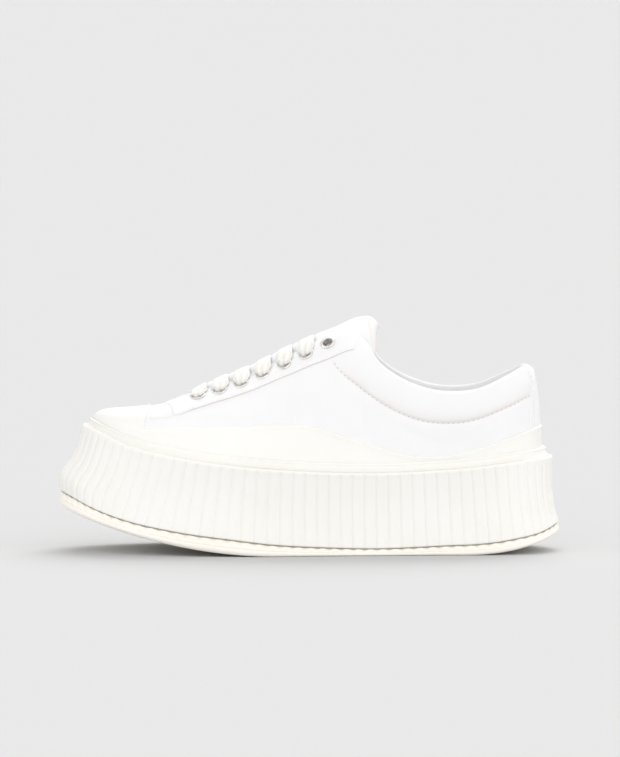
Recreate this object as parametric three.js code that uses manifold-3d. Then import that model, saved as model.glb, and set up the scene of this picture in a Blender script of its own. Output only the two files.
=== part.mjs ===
// A left platform sneaker: canvas upper with a rubber toe and mudguard, on a tall ribbed platform.
// Millimetres. +X points to the toe, +Y to the wearer's left (the outer side of the foot), +Z up.
// The origin is on the floor under the middle of the sole's length and width.
import * as THREE from 'three';
import { mergeVertices } from 'three/addons/utils/BufferGeometryUtils.js';
import Module from 'manifold-3d';

const wasm = await Module();
wasm.setup();

// ---------- driving dimensions ----------
const LAST_LENGTH = 261.9; // outside of the upper at its foot, heel to toe
const LAST_MIDDLE = -4.45; // middle of that length
const BALL_WIDTH = 88; // the same outline across the ball
const INSTEP = 130.6; // floor to the top of the throat
const GAP = 0.3; // clearance between neighbouring pieces

const TOE_SPRING = 26; // how far the tip of the tread clears the floor
const HEEL_BEVEL = 11.2; // how far the back of the tread clears the floor
const FLAT_FRONT = 20; // the tread lies flat from here
const FLAT_BACK = -90; // to here
const SOLE_END = 147; // ends of the tread, both ways
const TREAD_ROUND = 2.2; // rounded edge of the tread

const CANVAS = 2; // wall of the upper
const COLLAR_PAD = 6; // wall where the collar is padded
const COLLAR_EDGE = 3.6; // wall at the collar's own edge
const CUP_DEPTH = 10; // the upper sits this deep in the platform
const TOE_SLACK = 0.5; // more clearance where the toe curves most
const GUARD = 1.2; // rubber of the toe cap and mudguard
const BAND_HEIGHT = 5.3; // smooth band round the foot of the upper
const BAND_FOOT = 6; // its foot, outside the upper
const BAND_LIFT = 0.5; // and its clearance over the ledge
const BAND_TOP = 3.3; // its top, outside the upper
const BAND_TOE = -1.3; // and this much further in at the toe
const RIM = 8.4; // edge of the ledge, outside the upper
const RIM_TOE = -1.2; // and this much further in at the toe

const COLUMNS = 72; // stations round the shoe
const RIBS = 93;
const RIB_START = 0.21; // share of a rib between the heel and the first rib
const RIB_DEPTH = 1.3;
const RIB_STOPS = [{ at: 0, cut: 0 }, { at: 0.5, cut: 0 }, { at: 0.75, cut: 1 }];
const INSOLE = 4;

const TONGUE_PAD = 4;
const TONGUE_LIP = 4.6; // how far the padded top of the tongue rounds over

const PAIRS = 7; // pairs of eyelets
const LACED = 6; // pairs that hold the lace; the top pair is empty
const EYELET_FIRST_X = 65;
const EYELET_STEP_X = -12.68;
const EYELET_INSET = 0.14; // share of the wall between the throat's edge and an eyelet
const EYELET_HOLE = 2.4;
const EYELET_BARREL = 3;
const EYELET_FLANGE = 4.3;
const EYELET_RISE = 1.3; // top of the flange above the canvas
const EYELET_SIDES = 8;
const LACE_WIDTH = 8;
const LACE_THICK = 2;
const LACE_LIFT = 1; // a bar's clearance over the tongue
const LACE_END = 4.9; // and the height of its ends over the eyelets

// ---------- tables ----------
// The last: a row for each station from the heel's back to the toe's tip. x is a share of LAST_LENGTH,
// and out and inn are shares of half of BALL_WIDTH: the foot of the wall on the outer and inner side.
// topX, topOut and topInn place the edge that the wall climbs to in the same way: collar, then
// eyestay, then the front of the throat; topZ is a share of INSTEP. In millimetres, rise and lean
// carry the wall up from its foot, and reach and drop bring it in to its edge. pad is the share of
// the collar's padding.
const LAST = [
  {
    x: -0.5, out: 0.01, inn: -0.01,
    topX: -0.4865, topOut: 0.01, topInn: -0.01, topZ: 0.826,
    rise: 20, lean: 1.2, reach: 4.4, drop: 17, pad: 1,
  },
  {
    x: -0.478, out: 0.41, inn: 0.39,
    topX: -0.472, topOut: 0.288, topInn: 0.266, topZ: 0.831,
    rise: 20, lean: 1.2, reach: 4.2, drop: 16, pad: 1,
  },
  {
    x: -0.424, out: 0.635, inn: 0.615,
    topX: -0.428, topOut: 0.513, topInn: 0.496, topZ: 0.791,
    rise: 20, lean: 1.1, reach: 3.6, drop: 15, pad: 1,
  },
  {
    x: -0.338, out: 0.717, inn: 0.7,
    topX: -0.357, topOut: 0.637, topInn: 0.62, topZ: 0.734,
    rise: 20, lean: 1, reach: 2.4, drop: 14, pad: 1,
  },
  {
    x: -0.246, out: 0.74, inn: 0.677,
    topX: -0.277, topOut: 0.65, topInn: 0.628, topZ: 0.727,
    rise: 20, lean: 0.8, reach: 2.2, drop: 14, pad: 1,
  },
  {
    x: -0.159, out: 0.775, inn: 0.65,
    topX: -0.201, topOut: 0.606, topInn: 0.58, topZ: 0.773,
    rise: 22, lean: 0.8, reach: 3, drop: 15, pad: 1,
  },
  {
    x: -0.082, out: 0.82, inn: 0.664,
    topX: -0.145, topOut: 0.535, topInn: 0.513, topZ: 0.849,
    rise: 24, lean: 0.6, reach: 5, drop: 14, pad: 1,
  },
  {
    x: -0.013, out: 0.88, inn: 0.717,
    topX: -0.109, topOut: 0.431, topInn: 0.41, topZ: 0.955,
    rise: 27, lean: 0.5, reach: 9, drop: 9, pad: 0.6,
  },
  {
    x: 0.056, out: 0.943, inn: 0.8,
    topX: -0.067, topOut: 0.323, topInn: 0.305, topZ: 1,
    rise: 30, lean: 0.3, reach: 12, drop: 5.5, pad: 0.15,
  },
  {
    x: 0.154, out: 0.998, inn: 0.93,
    topX: 0.0475, topOut: 0.279, topInn: 0.265, topZ: 0.898,
    rise: 27, lean: 0.3, reach: 15, drop: 6.5, pad: 0,
  },
  {
    x: 0.254, out: 0.97, inn: 1,
    topX: 0.162, topOut: 0.248, topInn: 0.239, topZ: 0.789,
    rise: 24, lean: 0.4, reach: 17, drop: 6.5, pad: 0,
  },
  {
    x: 0.346, out: 0.815, inn: 0.93,
    topX: 0.2537, topOut: 0.217, topInn: 0.212, topZ: 0.727,
    rise: 23, lean: 1.2, reach: 20, drop: 6, pad: 0,
  },
  {
    x: 0.424, out: 0.57, inn: 0.765,
    topX: 0.307, topOut: 0.155, topInn: 0.155, topZ: 0.69,
    rise: 24, lean: 3, reach: 25, drop: 6.5, pad: 0,
  },
  {
    x: 0.474, out: 0.265, inn: 0.53,
    topX: 0.33, topOut: 0.066, topInn: 0.088, topZ: 0.665,
    rise: 27, lean: 4.6, reach: 32, drop: 8, pad: 0,
  },
  {
    x: 0.5, out: -0.155, inn: 0.155,
    topX: 0.3354, topOut: -0.011, topInn: 0.011, topZ: 0.657,
    rise: 29.5, lean: 5.4, reach: 34.6, drop: 8.5, pad: 0,
  },
];

// The platform along its length: ledge is the height of its rim, strip the thickness of the outsole,
// flare how far the ribbed wall spreads on its way down, and lean how far its foot slides along X.
const PLATFORM = [
  { x: -136, ledge: 56.1, strip: 5.3, flare: 3.7, lean: 0 },
  { x: -120, ledge: 54.5, strip: 6.3, flare: 4.4, lean: -3 },
  { x: -88, ledge: 50.9, strip: 5.8, flare: 5, lean: -2.4 },
  { x: -40, ledge: 48.7, strip: 4, flare: 5, lean: 0 },
  { x: 5, ledge: 50.2, strip: 5.6, flare: 5, lean: 0.8 },
  { x: 45, ledge: 53.5, strip: 8.4, flare: 5, lean: 4.4 },
  { x: 80, ledge: 58.3, strip: 8, flare: 5, lean: 9.5 },
  { x: 105, ledge: 63.8, strip: 7.1, flare: 4.6, lean: 11 },
  { x: 125, ledge: 71.4, strip: 7.4, flare: 4.2, lean: 9.8 },
  { x: 140, ledge: 76.5, strip: 8.8, flare: 4, lean: 9.6 },
];

// The ribbed wall from its rim down: depth is the share of its height, flare and lean are the shares
// of the platform's own, side is the lean's share along the sides, and toe a swelling at the toe.
const WALL = [
  { depth: 1, flare: 1, lean: 1, side: 1, toe: 0 },
  { depth: 0.76, flare: 0.35, lean: 1.06, side: 0.84, toe: 1.9 },
  { depth: 0.42, flare: -0.06, lean: 0.56, side: 0.46, toe: 0.7 },
  { depth: 0, flare: 0, lean: 0, side: 0, toe: 0 },
];

// Top edge of the toe cap and mudguard, seen from the side: over the toe, down, then back to the heel.
const GUARD_EDGE = [
  { x: 90, z: 92 },
  { x: 91, z: 85.8 },
  { x: 95.3, z: 82.4 },
  { x: 96.6, z: 78.4 },
  { x: 97.6, z: 73.9 },
  { x: 69, z: 74.2 },
  { x: 40, z: 75.2 },
  { x: 8, z: 76.8 },
  { x: -4, z: 75.2 },
  { x: -18, z: 70.8 },
  { x: -36, z: 64.8 },
  { x: -56, z: 59.1 },
  { x: -68, z: 57.5 },
  { x: -83, z: 58.3 },
  { x: -100, z: 62.3 },
  { x: -118, z: 68.6 },
  { x: -132, z: 73.2 },
  { x: -142, z: 75.4 },
];

// The tongue along its length: crown is the height of its ridge, half its half width, and bend how
// fast its sides fall away, in millimetres of drop for each square millimetre.
const TONGUE = [
  { x: 90, crown: 80.2, half: 13, bend: 0.03 },
  { x: 79, crown: 84.6, half: 16, bend: 0.038 },
  { x: 68, crown: 92.6, half: 18, bend: 0.042 },
  { x: 52, crown: 99.2, half: 20, bend: 0.042 },
  { x: 34, crown: 106.2, half: 21, bend: 0.042 },
  { x: 15, crown: 116, half: 21, bend: 0.044 },
  { x: -2, crown: 124.2, half: 21, bend: 0.048 },
  { x: -16, crown: 131.8, half: 19.6, bend: 0.058 },
  { x: -27, crown: 137.6, half: 17, bend: 0.072 },
  { x: -34.6, crown: 139.2, half: 15.6, bend: 0.08 },
];

const COLOURS = {
  canvas: 0xfafafd,
  rubber: 0xf5f3ea,
  outsole: 0xf1eee0,
  lining: 0xf6f1ee,
  lace: 0xfbf9f4,
  metal: 0xb9b7b4,
};

// ---------- small tools ----------
const point = (x, y, z) => new THREE.Vector3(x, y, z);
const range = (count) => Array.from({ length: count }, (_, i) => i);
const mix = THREE.MathUtils.lerp;
const ease = (value, from, to) => THREE.MathUtils.smoothstep(value, from, to);

// A column of a table at x, by a smooth curve through its rows.
function rowAt(rows, x, key) {
  const last = rows.length - 1;
  const up = rows[0].x < rows[last].x ? 1 : -1;
  let i = 0;
  while (i < last - 1 && (x - rows[i + 1].x) * up > 0) i += 1;
  const knots = [rows[Math.max(i - 1, 0)], rows[i], rows[i + 1], rows[Math.min(i + 2, last)]];
  const span = knots[2].x - knots[1].x;
  const slope = (a, b) => (b === a ? 0 : ((b[key] - a[key]) / (b.x - a.x)) * span);
  const share = THREE.MathUtils.clamp((x - knots[1].x) / span, 0, 1);
  const [s2, s3] = [share ** 2, share ** 3];
  return (2 * s3 - 3 * s2 + 1) * knots[1][key] + (s3 - 2 * s2 + share) * slope(knots[0], knots[2])
    + (3 * s2 - 2 * s3) * knots[2][key] + (s3 - s2) * slope(knots[1], knots[3]);
}

// A skin of triangles made of rings of points.
class Skin {
  points = [];
  faces = [];

  ring(points) {
    this.points.push(...points);
    return { start: this.points.length - points.length, count: points.length };
  }

  // Joins two rings that run the same way round; they may differ in their number of points.
  bridge(low, high) {
    const at = (ring, i) => ring.start + (i % ring.count);
    let i = 0;
    let j = 0;
    while (i < low.count || j < high.count) {
      const alongLow = (i + 1) / low.count <= (j + 1) / high.count;
      if (alongLow) {
        this.faces.push(at(low, i), at(high, j), at(low, i + 1));
        i += 1;
      } else {
        this.faces.push(at(low, i), at(high, j), at(high, j + 1));
        j += 1;
      }
    }
  }

  // Closes a ring with rungs from one side to the other.
  cap(ring, turned) {
    const { start, count } = ring;
    for (let i = 1; i < count - 1; i += 1) {
      const near = Math.ceil(i / 2);
      const [a, b, c] = i % 2
        ? [(count - near + 1) % count, near, count - near]
        : [near, near + 1, count - near];
      const face = [start + a, start + b, start + c];
      this.faces.push(...(turned ? face.reverse() : face));
    }
  }

  geometry() {
    const made = new THREE.BufferGeometry().setFromPoints(this.points);
    made.setIndex(this.faces);
    return made;
  }
}

// A hollow loop: the rings run round the section, and the last joins the first.
function loopSolid(rings) {
  const skin = new Skin();
  const made = rings.map((ring) => skin.ring(ring));
  made.forEach((ring, i) => skin.bridge(ring, made[(i + 1) % made.length]));
  return skin.geometry();
}

// A solid between its first and its last ring, both closed with a cap.
function stackSolid(rings) {
  const skin = new Skin();
  const made = rings.map((ring) => skin.ring(ring));
  made.slice(1).forEach((ring, i) => skin.bridge(made[i], ring));
  skin.cap(made[0], false);
  skin.cap(made[made.length - 1], true);
  return skin.geometry();
}

function bodyOf(geometry) {
  const plain = geometry.index ? geometry.toNonIndexed() : geometry.clone();
  plain.deleteAttribute('normal');
  plain.deleteAttribute('uv');
  const merged = mergeVertices(plain, 1e-4);
  return new wasm.Manifold(new wasm.Mesh({
    numProp: 3,
    vertProperties: new Float32Array(merged.attributes.position.array),
    triVerts: new Uint32Array(merged.index.array),
  }));
}

function geometryOf(body) {
  const mesh = body.getMesh();
  const made = new THREE.BufferGeometry();
  made.setAttribute('position', new THREE.BufferAttribute(mesh.vertProperties, 3));
  made.setIndex(new THREE.BufferAttribute(mesh.triVerts, 1));
  return made;
}

// ---------- the last's surface ----------
// A closed curve through one value of each row: out the lateral side, back along the medial side.
function loopCurve(kind, lateral, medial) {
  const back = LAST.slice(1, -1).reverse();
  return new THREE.CatmullRomCurve3([...LAST.map(lateral), ...back.map(medial)], true, kind);
}

const along = (share) => LAST_MIDDLE + share * LAST_LENGTH;
const across = (share) => (share * BALL_WIDTH) / 2;
const footCurve = loopCurve(
  'centripetal',
  (row) => point(along(row.x), across(row.out), 0),
  (row) => point(along(row.x), -across(row.inn), 0),
);
const edgeCurve = loopCurve(
  'centripetal',
  (row) => point(along(row.topX), across(row.topOut), row.topZ * INSTEP),
  (row) => point(along(row.topX), -across(row.topInn), row.topZ * INSTEP),
);
const handles = (row) => point(row.rise, row.lean, row.reach);
const fillings = (row) => point(row.drop, row.pad, 0);
const handleCurve = loopCurve('catmullrom', handles, handles);
const fillingCurve = loopCurve('catmullrom', fillings, fillings);
footCurve.arcLengthDivisions = 1200;

// Stations at equal steps round the foot, as the curves' own parameter.
const station = (share) => footCurve.getUtoTmapping(share);
const STATIONS = range(COLUMNS).map((i) => station(i / COLUMNS));

function outward(curve, t) {
  const [ahead, behind] = [curve.getPoint((t + 0.001) % 1), curve.getPoint((t + 0.999) % 1)];
  return point(behind.y - ahead.y, ahead.x - behind.x, 0).normalize();
}

const ledge = (x) => rowAt(PLATFORM, x, 'ledge');

function tread(x) {
  const toe = Math.max(0, (x - FLAT_FRONT) / (SOLE_END - FLAT_FRONT));
  const heel = Math.max(0, (FLAT_BACK - x) / (SOLE_END + FLAT_BACK));
  return TOE_SPRING * toe ** 1.85 + HEEL_BEVEL * heel ** 2.3;
}

// The wall at station t: v runs from 0 at its foot to 1 at its edge.
function wallCurve(t) {
  const foot = footCurve.getPoint(t);
  const edge = edgeCurve.getPoint(t);
  const { x: rise, y: lean, z: reach } = handleCurve.getPoint(t);
  const drop = fillingCurve.getPoint(t).x;
  foot.z = ledge(foot.x) - CUP_DEPTH + GAP;
  const low = foot.clone().addScaledVector(outward(footCurve, t), lean);
  low.z += rise;
  const high = edge.clone().addScaledVector(outward(edgeCurve, t), reach);
  high.z -= drop;
  return new THREE.CubicBezierCurve3(foot, low, high, edge);
}

// A point of the upper at station t and share v, moved off the canvas by out, and its normal.
function surface(t, v, out = 0) {
  const step = 0.002;
  const here = wallCurve(t);
  const place = here.getPoint(v);
  const round = wallCurve((t + step) % 1).getPoint(v).sub(wallCurve((t + 1 - step) % 1).getPoint(v));
  const climb = here.getPoint(v + step).sub(here.getPoint(v - step));
  const normal = climb.clone().cross(round).normalize();
  return { place: place.addScaledVector(normal, out), normal, climb: climb.normalize() };
}

// The share v at which the wall reaches a height.
function shareAt(t, height) {
  const wall = wallCurve(t);
  let [low, high] = [0, 1];
  for (let i = 0; i < 24; i += 1) {
    const middle = (low + high) / 2;
    if (wall.getPoint(middle).z < height) low = middle;
    else high = middle;
  }
  return low;
}

// ---------- upper ----------
const LEVELS = [0, 0.12, 0.25, 0.38, 0.52, 0.66, 0.79, 0.9, 1];

function thickness(t, v) {
  const pad = THREE.MathUtils.clamp(fillingCurve.getPoint(t).y, 0, 1);
  const swell = (COLLAR_PAD - CANVAS) * ease(v, 0.58, 0.78);
  const taper = (COLLAR_PAD - COLLAR_EDGE) * ease(v, 0.86, 1);
  return CANVAS + pad * (swell - taper);
}

function edgeRing() {
  return STATIONS.map((t) => {
    const { place, normal, climb } = surface(t, 1);
    const thick = thickness(t, 1);
    return place.addScaledVector(normal, -thick / 2).addScaledVector(climb, thick * 0.3);
  });
}

const shellRing = (v, out) => STATIONS.map((t) => surface(t, v, out(t, v)).place);

function upperShell() {
  const outside = LEVELS.map((v) => shellRing(v, () => 0));
  const inside = LEVELS.map((v) => shellRing(v, (t) => -thickness(t, v))).reverse();
  return loopSolid([...outside, edgeRing(), ...inside]);
}

// ---------- eyelets ----------
function stationWhere(x, v, side) {
  let [back, front] = side > 0 ? [0.1, 0.5] : [0.9, 0.5];
  for (let i = 0; i < 30; i += 1) {
    const middle = (back + front) / 2;
    if (wallCurve(middle).getPoint(v).x < x) back = middle;
    else front = middle;
  }
  return back;
}

function eyeletPlace(pair, side) {
  const v = 1 - EYELET_INSET;
  return surface(stationWhere(EYELET_FIRST_X + pair * EYELET_STEP_X, v, side), v);
}

function stand(geometry, { place, normal }) {
  geometry.applyQuaternion(new THREE.Quaternion().setFromUnitVectors(point(0, 1, 0), normal));
  return geometry.translate(place.x, place.y, place.z);
}

function eyelet(pair, side) {
  const below = -CANVAS - 2 * GAP;
  const profile = [
    [EYELET_HOLE, below],
    [EYELET_BARREL, below],
    [EYELET_BARREL, GAP],
    [EYELET_FLANGE, GAP],
    [EYELET_HOLE, EYELET_RISE],
    [EYELET_HOLE, below],
  ].map(([r, h]) => new THREE.Vector2(r, h));
  const ring = new THREE.LatheGeometry(profile, EYELET_SIDES);
  return stand(ring, eyeletPlace(pair, side));
}

function eyeletHole(pair, side) {
  const radius = (EYELET_BARREL + GAP) / Math.cos(Math.PI / EYELET_SIDES);
  const drill = new THREE.CylinderGeometry(radius, radius, 4 * CANVAS, EYELET_SIDES);
  return stand(drill, eyeletPlace(pair, side));
}

const SIDES = [{ name: 'lateral', sign: 1 }, { name: 'medial', sign: -1 }];

function upper() {
  let body = bodyOf(upperShell());
  for (const { sign } of SIDES) {
    for (const pair of range(PAIRS)) body = body.subtract(bodyOf(eyeletHole(pair, sign)));
  }
  return geometryOf(body);
}

// ---------- toe cap and mudguard ----------
// A closed form of the whole wall, moved off the canvas.
function wallForm(out) {
  const levels = LEVELS.filter((v) => v < 0.99);
  return bodyOf(stackSolid(levels.map((v) => shellRing(v, () => out))));
}

// The side view that the guard covers, from the top of the band to the guard's edge.
function guardWindow() {
  const bandTop = range(25).map((i) => mix(SOLE_END, -SOLE_END, i / 24));
  const outline = new THREE.Shape();
  outline.moveTo(SOLE_END, INSTEP);
  outline.lineTo(GUARD_EDGE[0].x, INSTEP);
  GUARD_EDGE.forEach(({ x, z }) => outline.lineTo(x, z));
  outline.lineTo(-SOLE_END, GUARD_EDGE[GUARD_EDGE.length - 1].z);
  bandTop.reverse().forEach((x) => outline.lineTo(x, ledge(x) + BAND_HEIGHT + GAP));
  outline.closePath();
  const slab = new THREE.ExtrudeGeometry(outline, { depth: 2 * BALL_WIDTH, bevelEnabled: false });
  return slab.rotateX(Math.PI / 2).translate(0, BALL_WIDTH, 0);
}

function rubberGuard() {
  const shell = wallForm(GAP + GUARD).subtract(wallForm(GAP));
  return geometryOf(shell.intersect(bodyOf(guardWindow())));
}

// ---------- platform ----------
const rimOut = (x) => RIM + RIM_TOE * ease(x, 90, 126);
const bandOut = (x) => BAND_TOP + BAND_TOE * ease(x, 90, 126);
const snug = (x) => GAP + TOE_SLACK * ease(x, 60, 95); // clearance round the foot of the wall

// A ring at the upper's outline where it passes a height over the ledge, moved out sideways.
function outlineRing(over, out, lift = over) {
  return STATIONS.map((t) => {
    const foot = footCurve.getPoint(t);
    const v = over <= -CUP_DEPTH ? 0 : shareAt(t, ledge(foot.x) + over);
    const place = wallCurve(t).getPoint(v).addScaledVector(outward(footCurve, t), out(foot.x));
    place.z = ledge(place.x) + lift;
    return place;
  });
}

// Lengths of the rim from the heel, at even shares of the way round the foot.
const RIM_RUN = (() => {
  const places = range(1201).map((i) => {
    const t = station(i / 1200);
    const foot = footCurve.getPoint(t);
    return foot.clone().addScaledVector(outward(footCurve, t), rimOut(foot.x));
  });
  const run = [0];
  places.slice(1).forEach((place, i) => run.push(run[i] + place.distanceTo(places[i])));
  return run;
})();

// The share of the way round the foot at an even share of the way round the rim.
function rimShare(even) {
  const target = (even % 1) * RIM_RUN[1200];
  const i = RIM_RUN.findIndex((length) => length > target);
  const before = RIM_RUN[i - 1];
  return (i - 1 + (target - before) / (RIM_RUN[i] - before)) / 1200;
}

// A point of the ribbed wall at a share of the way round.
function wallPlace(share, row, cut) {
  const t = station(share);
  const foot = footCurve.getPoint(t);
  const away = outward(footCurve, t);
  const rim = foot.clone().addScaledVector(away, rimOut(foot.x) - cut);
  const flare = rowAt(PLATFORM, foot.x, 'flare') * row.flare + row.toe * ease(foot.x, 100, 126);
  const place = rim.clone().addScaledVector(away, flare);
  place.x += rowAt(PLATFORM, foot.x, 'lean') * mix(row.side, row.lean, ease(foot.x, 85, 120));
  const top = ledge(rim.x);
  const low = tread(place.x) + rowAt(PLATFORM, place.x, 'strip') + GAP;
  place.z = mix(top, low, row.depth);
  return place;
}

function ribbedRing(row) {
  return range(RIBS).flatMap((rib) => RIB_STOPS.map(({ at, cut }) => (
    wallPlace(rimShare((rib + at + RIB_START) / RIBS), row, cut * RIB_DEPTH))));
}

function midsole() {
  return stackSolid([
    ...WALL.map(ribbedRing),
    outlineRing(0, snug),
    outlineRing(-CUP_DEPTH, snug),
  ]);
}

function outsole() {
  const ring = (inset, share) => range(COLUMNS).map((i) => {
    const place = wallPlace(i / COLUMNS, WALL[0], inset);
    const strip = rowAt(PLATFORM, place.x, 'strip');
    place.z = tread(place.x) + share * strip;
    return place;
  });
  return stackSolid([ring(TREAD_ROUND, 0), ring(0, 0.4), ring(0, 1)]);
}

function foxingBand() {
  return loopSolid([
    outlineRing(0, (x) => BAND_FOOT + RIM_TOE * ease(x, 90, 126), BAND_LIFT),
    outlineRing(BAND_HEIGHT, (x) => bandOut(x) + 0.5, BAND_HEIGHT - 0.8),
    outlineRing(BAND_HEIGHT, (x) => bandOut(x) - 0.5, BAND_HEIGHT),
    outlineRing(BAND_HEIGHT, snug),
    outlineRing(0, snug, BAND_LIFT),
  ]);
}

function insole() {
  const inside = () => -(CANVAS + 2 * GAP);
  return stackSolid([
    outlineRing(-CUP_DEPTH, inside, GAP - CUP_DEPTH),
    outlineRing(-CUP_DEPTH, inside, INSOLE - CUP_DEPTH),
  ]);
}

// ---------- tongue ----------
const TONGUE_SIDES = 9;

// A ring round the tongue's section at x; slim takes it in towards its middle.
function tongueRing(x, slim) {
  const [crown, half, bend] = ['crown', 'half', 'bend'].map((key) => rowAt(TONGUE, x, key));
  const rise = (rowAt(TONGUE, x + 1, 'crown') - rowAt(TONGUE, x - 1, 'crown')) / 2;
  const face = (y, down) => {
    const normal = point(-rise, 2 * bend * y, 1).normalize();
    return point(x, y, crown - bend * y * y).addScaledVector(normal, -down);
  };
  const rows = range(TONGUE_SIDES).map((i) => mix(-1, 1, i / (TONGUE_SIDES - 1)) * (half - slim));
  const top = rows.map((y) => face(y, slim));
  const under = rows.map((y) => face(y, TONGUE_PAD - slim)).reverse();
  return [...top, ...under];
}

function tongue() {
  const top = TONGUE[TONGUE.length - 1].x;
  const rings = TONGUE.map(({ x }) => tongueRing(x, 0)).reverse();
  const fold = point(-TONGUE_LIP, 0, -TONGUE_LIP / 2);
  const lip = tongueRing(top, TONGUE_PAD * 0.3).map((p) => p.add(fold));
  return stackSolid([lip, ...rings]);
}

// ---------- lace ----------
// A flat bar over the tongue between the two eyelets of a pair.
function laceBar(pair) {
  const [near, far] = SIDES.map(({ sign }) => eyeletPlace(pair, sign).place);
  const reach = (near.y - far.y) / 2 - EYELET_FLANGE - 2 * GAP;
  const middle = near.clone().add(far).multiplyScalar(0.5);
  const crown = rowAt(TONGUE, middle.x, 'crown') + LACE_LIFT;
  const slope = (rowAt(TONGUE, middle.x - 2, 'crown') - rowAt(TONGUE, middle.x + 2, 'crown')) / 4;
  const ahead = point(-1, 0, slope).normalize();
  const up = point(slope, 0, 1).normalize();
  const section = [[-1, 0.2], [-0.75, 1], [0.75, 1], [1, 0.2], [0.75, 0], [-0.75, 0]];
  return stackSolid(range(7).map((i) => {
    const share = mix(-1, 1, i / 6);
    const fall = (crown - middle.z - LACE_END) * share ** 2;
    const centre = point(middle.x, middle.y + share * reach, crown - fall);
    return section.map(([w, h]) => centre.clone()
      .addScaledVector(ahead, (w * LACE_WIDTH) / 2)
      .addScaledVector(up, h * LACE_THICK));
  }));
}

// ---------- the shoe ----------
const material = (colour, roughness, metalness = 0) => (
  new THREE.MeshStandardMaterial({ color: colour, roughness, metalness }));
const canvas = material(COLOURS.canvas, 0.9);
const rubber = material(COLOURS.rubber, 0.55);
const soleRubber = material(COLOURS.outsole, 0.6);
const lining = material(COLOURS.lining, 0.95);
const cotton = material(COLOURS.lace, 0.9);
const metal = material(COLOURS.metal, 0.3, 1);

const shoe = new THREE.Group();

function add(name, geometry, look) {
  const mesh = new THREE.Mesh(geometry, look);
  mesh.name = name;
  shoe.add(mesh);
}

add('outsole', outsole(), soleRubber);
add('midsole', midsole(), rubber);
add('foxing_band', foxingBand(), rubber);
add('upper', upper(), canvas);
add('rubber_guard', rubberGuard(), rubber);
add('insole', insole(), lining);
add('tongue', tongue(), canvas);
for (const { name, sign } of SIDES) {
  for (const pair of range(PAIRS)) add(`eyelet_${name}_${pair + 1}`, eyelet(pair, sign), metal);
}
for (const pair of range(LACED)) add(`lace_bar_${pair + 1}`, laceBar(pair), cotton);

export default shoe;
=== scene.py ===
"""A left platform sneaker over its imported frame.

White canvas upper with a padded collar and tongue, a rubber toe cap and mudguard, and a tall
platform with a ribbed wall. Sizes are in millimetres and finished meshes in metres, in the
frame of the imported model: +X points to the toe, +Y to the outer side and +Z up.
"""

from __future__ import annotations

import logging
import math
from collections.abc import Callable, Sequence
from dataclasses import dataclass, field
from enum import Enum

import bmesh
import bpy
import numpy as np
from mathutils import Matrix, Vector
from numpy.typing import NDArray


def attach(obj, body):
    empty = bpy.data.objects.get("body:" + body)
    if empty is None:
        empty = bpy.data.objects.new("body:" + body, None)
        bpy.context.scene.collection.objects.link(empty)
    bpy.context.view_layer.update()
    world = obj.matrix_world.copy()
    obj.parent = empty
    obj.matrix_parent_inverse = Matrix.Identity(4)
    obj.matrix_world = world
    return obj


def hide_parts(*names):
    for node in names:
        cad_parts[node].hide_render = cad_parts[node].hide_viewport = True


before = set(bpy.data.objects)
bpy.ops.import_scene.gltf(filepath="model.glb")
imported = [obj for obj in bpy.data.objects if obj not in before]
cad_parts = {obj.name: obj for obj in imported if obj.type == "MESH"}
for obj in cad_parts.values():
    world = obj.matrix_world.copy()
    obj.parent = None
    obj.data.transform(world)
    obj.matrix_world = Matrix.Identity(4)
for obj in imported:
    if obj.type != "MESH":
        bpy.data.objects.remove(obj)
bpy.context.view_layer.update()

Array = NDArray[np.float64]
Colour = tuple[float, float, float]
MM = 0.001
log = logging.getLogger("sneaker")


# ---------------------------------------------------------------- tables of the last
LAST_COLUMNS = (
    "x", "out", "inn", "top_x", "top_out", "top_inn", "top_z", "rise", "lean", "reach", "drop",
)
LAST_ROWS = (
    (-0.5, 0.01, -0.01, -0.4865, 0.01, -0.01, 0.826, 20, 1.2, 4.4, 17),
    (-0.478, 0.41, 0.39, -0.472, 0.288, 0.266, 0.831, 20, 1.2, 4.2, 16),
    (-0.424, 0.635, 0.615, -0.428, 0.513, 0.496, 0.791, 20, 1.1, 3.6, 15),
    (-0.338, 0.717, 0.7, -0.357, 0.637, 0.62, 0.734, 20, 1, 2.4, 14),
    (-0.246, 0.74, 0.677, -0.277, 0.65, 0.628, 0.727, 20, 0.8, 2.2, 14),
    (-0.159, 0.775, 0.65, -0.201, 0.606, 0.58, 0.773, 22, 0.8, 3, 15),
    (-0.082, 0.82, 0.664, -0.145, 0.535, 0.513, 0.849, 24, 0.6, 5, 14),
    (-0.013, 0.88, 0.717, -0.109, 0.431, 0.41, 0.955, 27, 0.5, 9, 9),
    (0.056, 0.943, 0.8, -0.067, 0.323, 0.305, 1, 30, 0.3, 12, 5.5),
    (0.154, 0.998, 0.93, 0.0475, 0.279, 0.265, 0.898, 27, 0.3, 15, 6.5),
    (0.254, 0.97, 1, 0.162, 0.248, 0.239, 0.789, 24, 0.4, 17, 6.5),
    (0.346, 0.815, 0.93, 0.2537, 0.217, 0.212, 0.727, 23, 1.2, 20, 6),
    (0.424, 0.57, 0.765, 0.307, 0.155, 0.155, 0.69, 24, 3, 25, 6.5),
    (0.474, 0.265, 0.53, 0.33, 0.066, 0.088, 0.665, 27, 4.6, 32, 8),
    (0.5, -0.155, 0.155, 0.3354, -0.011, 0.011, 0.657, 29.5, 5.4, 34.6, 8.5),
)
PLATFORM_COLUMNS = ("x", "ledge", "strip", "flare", "lean")
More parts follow.
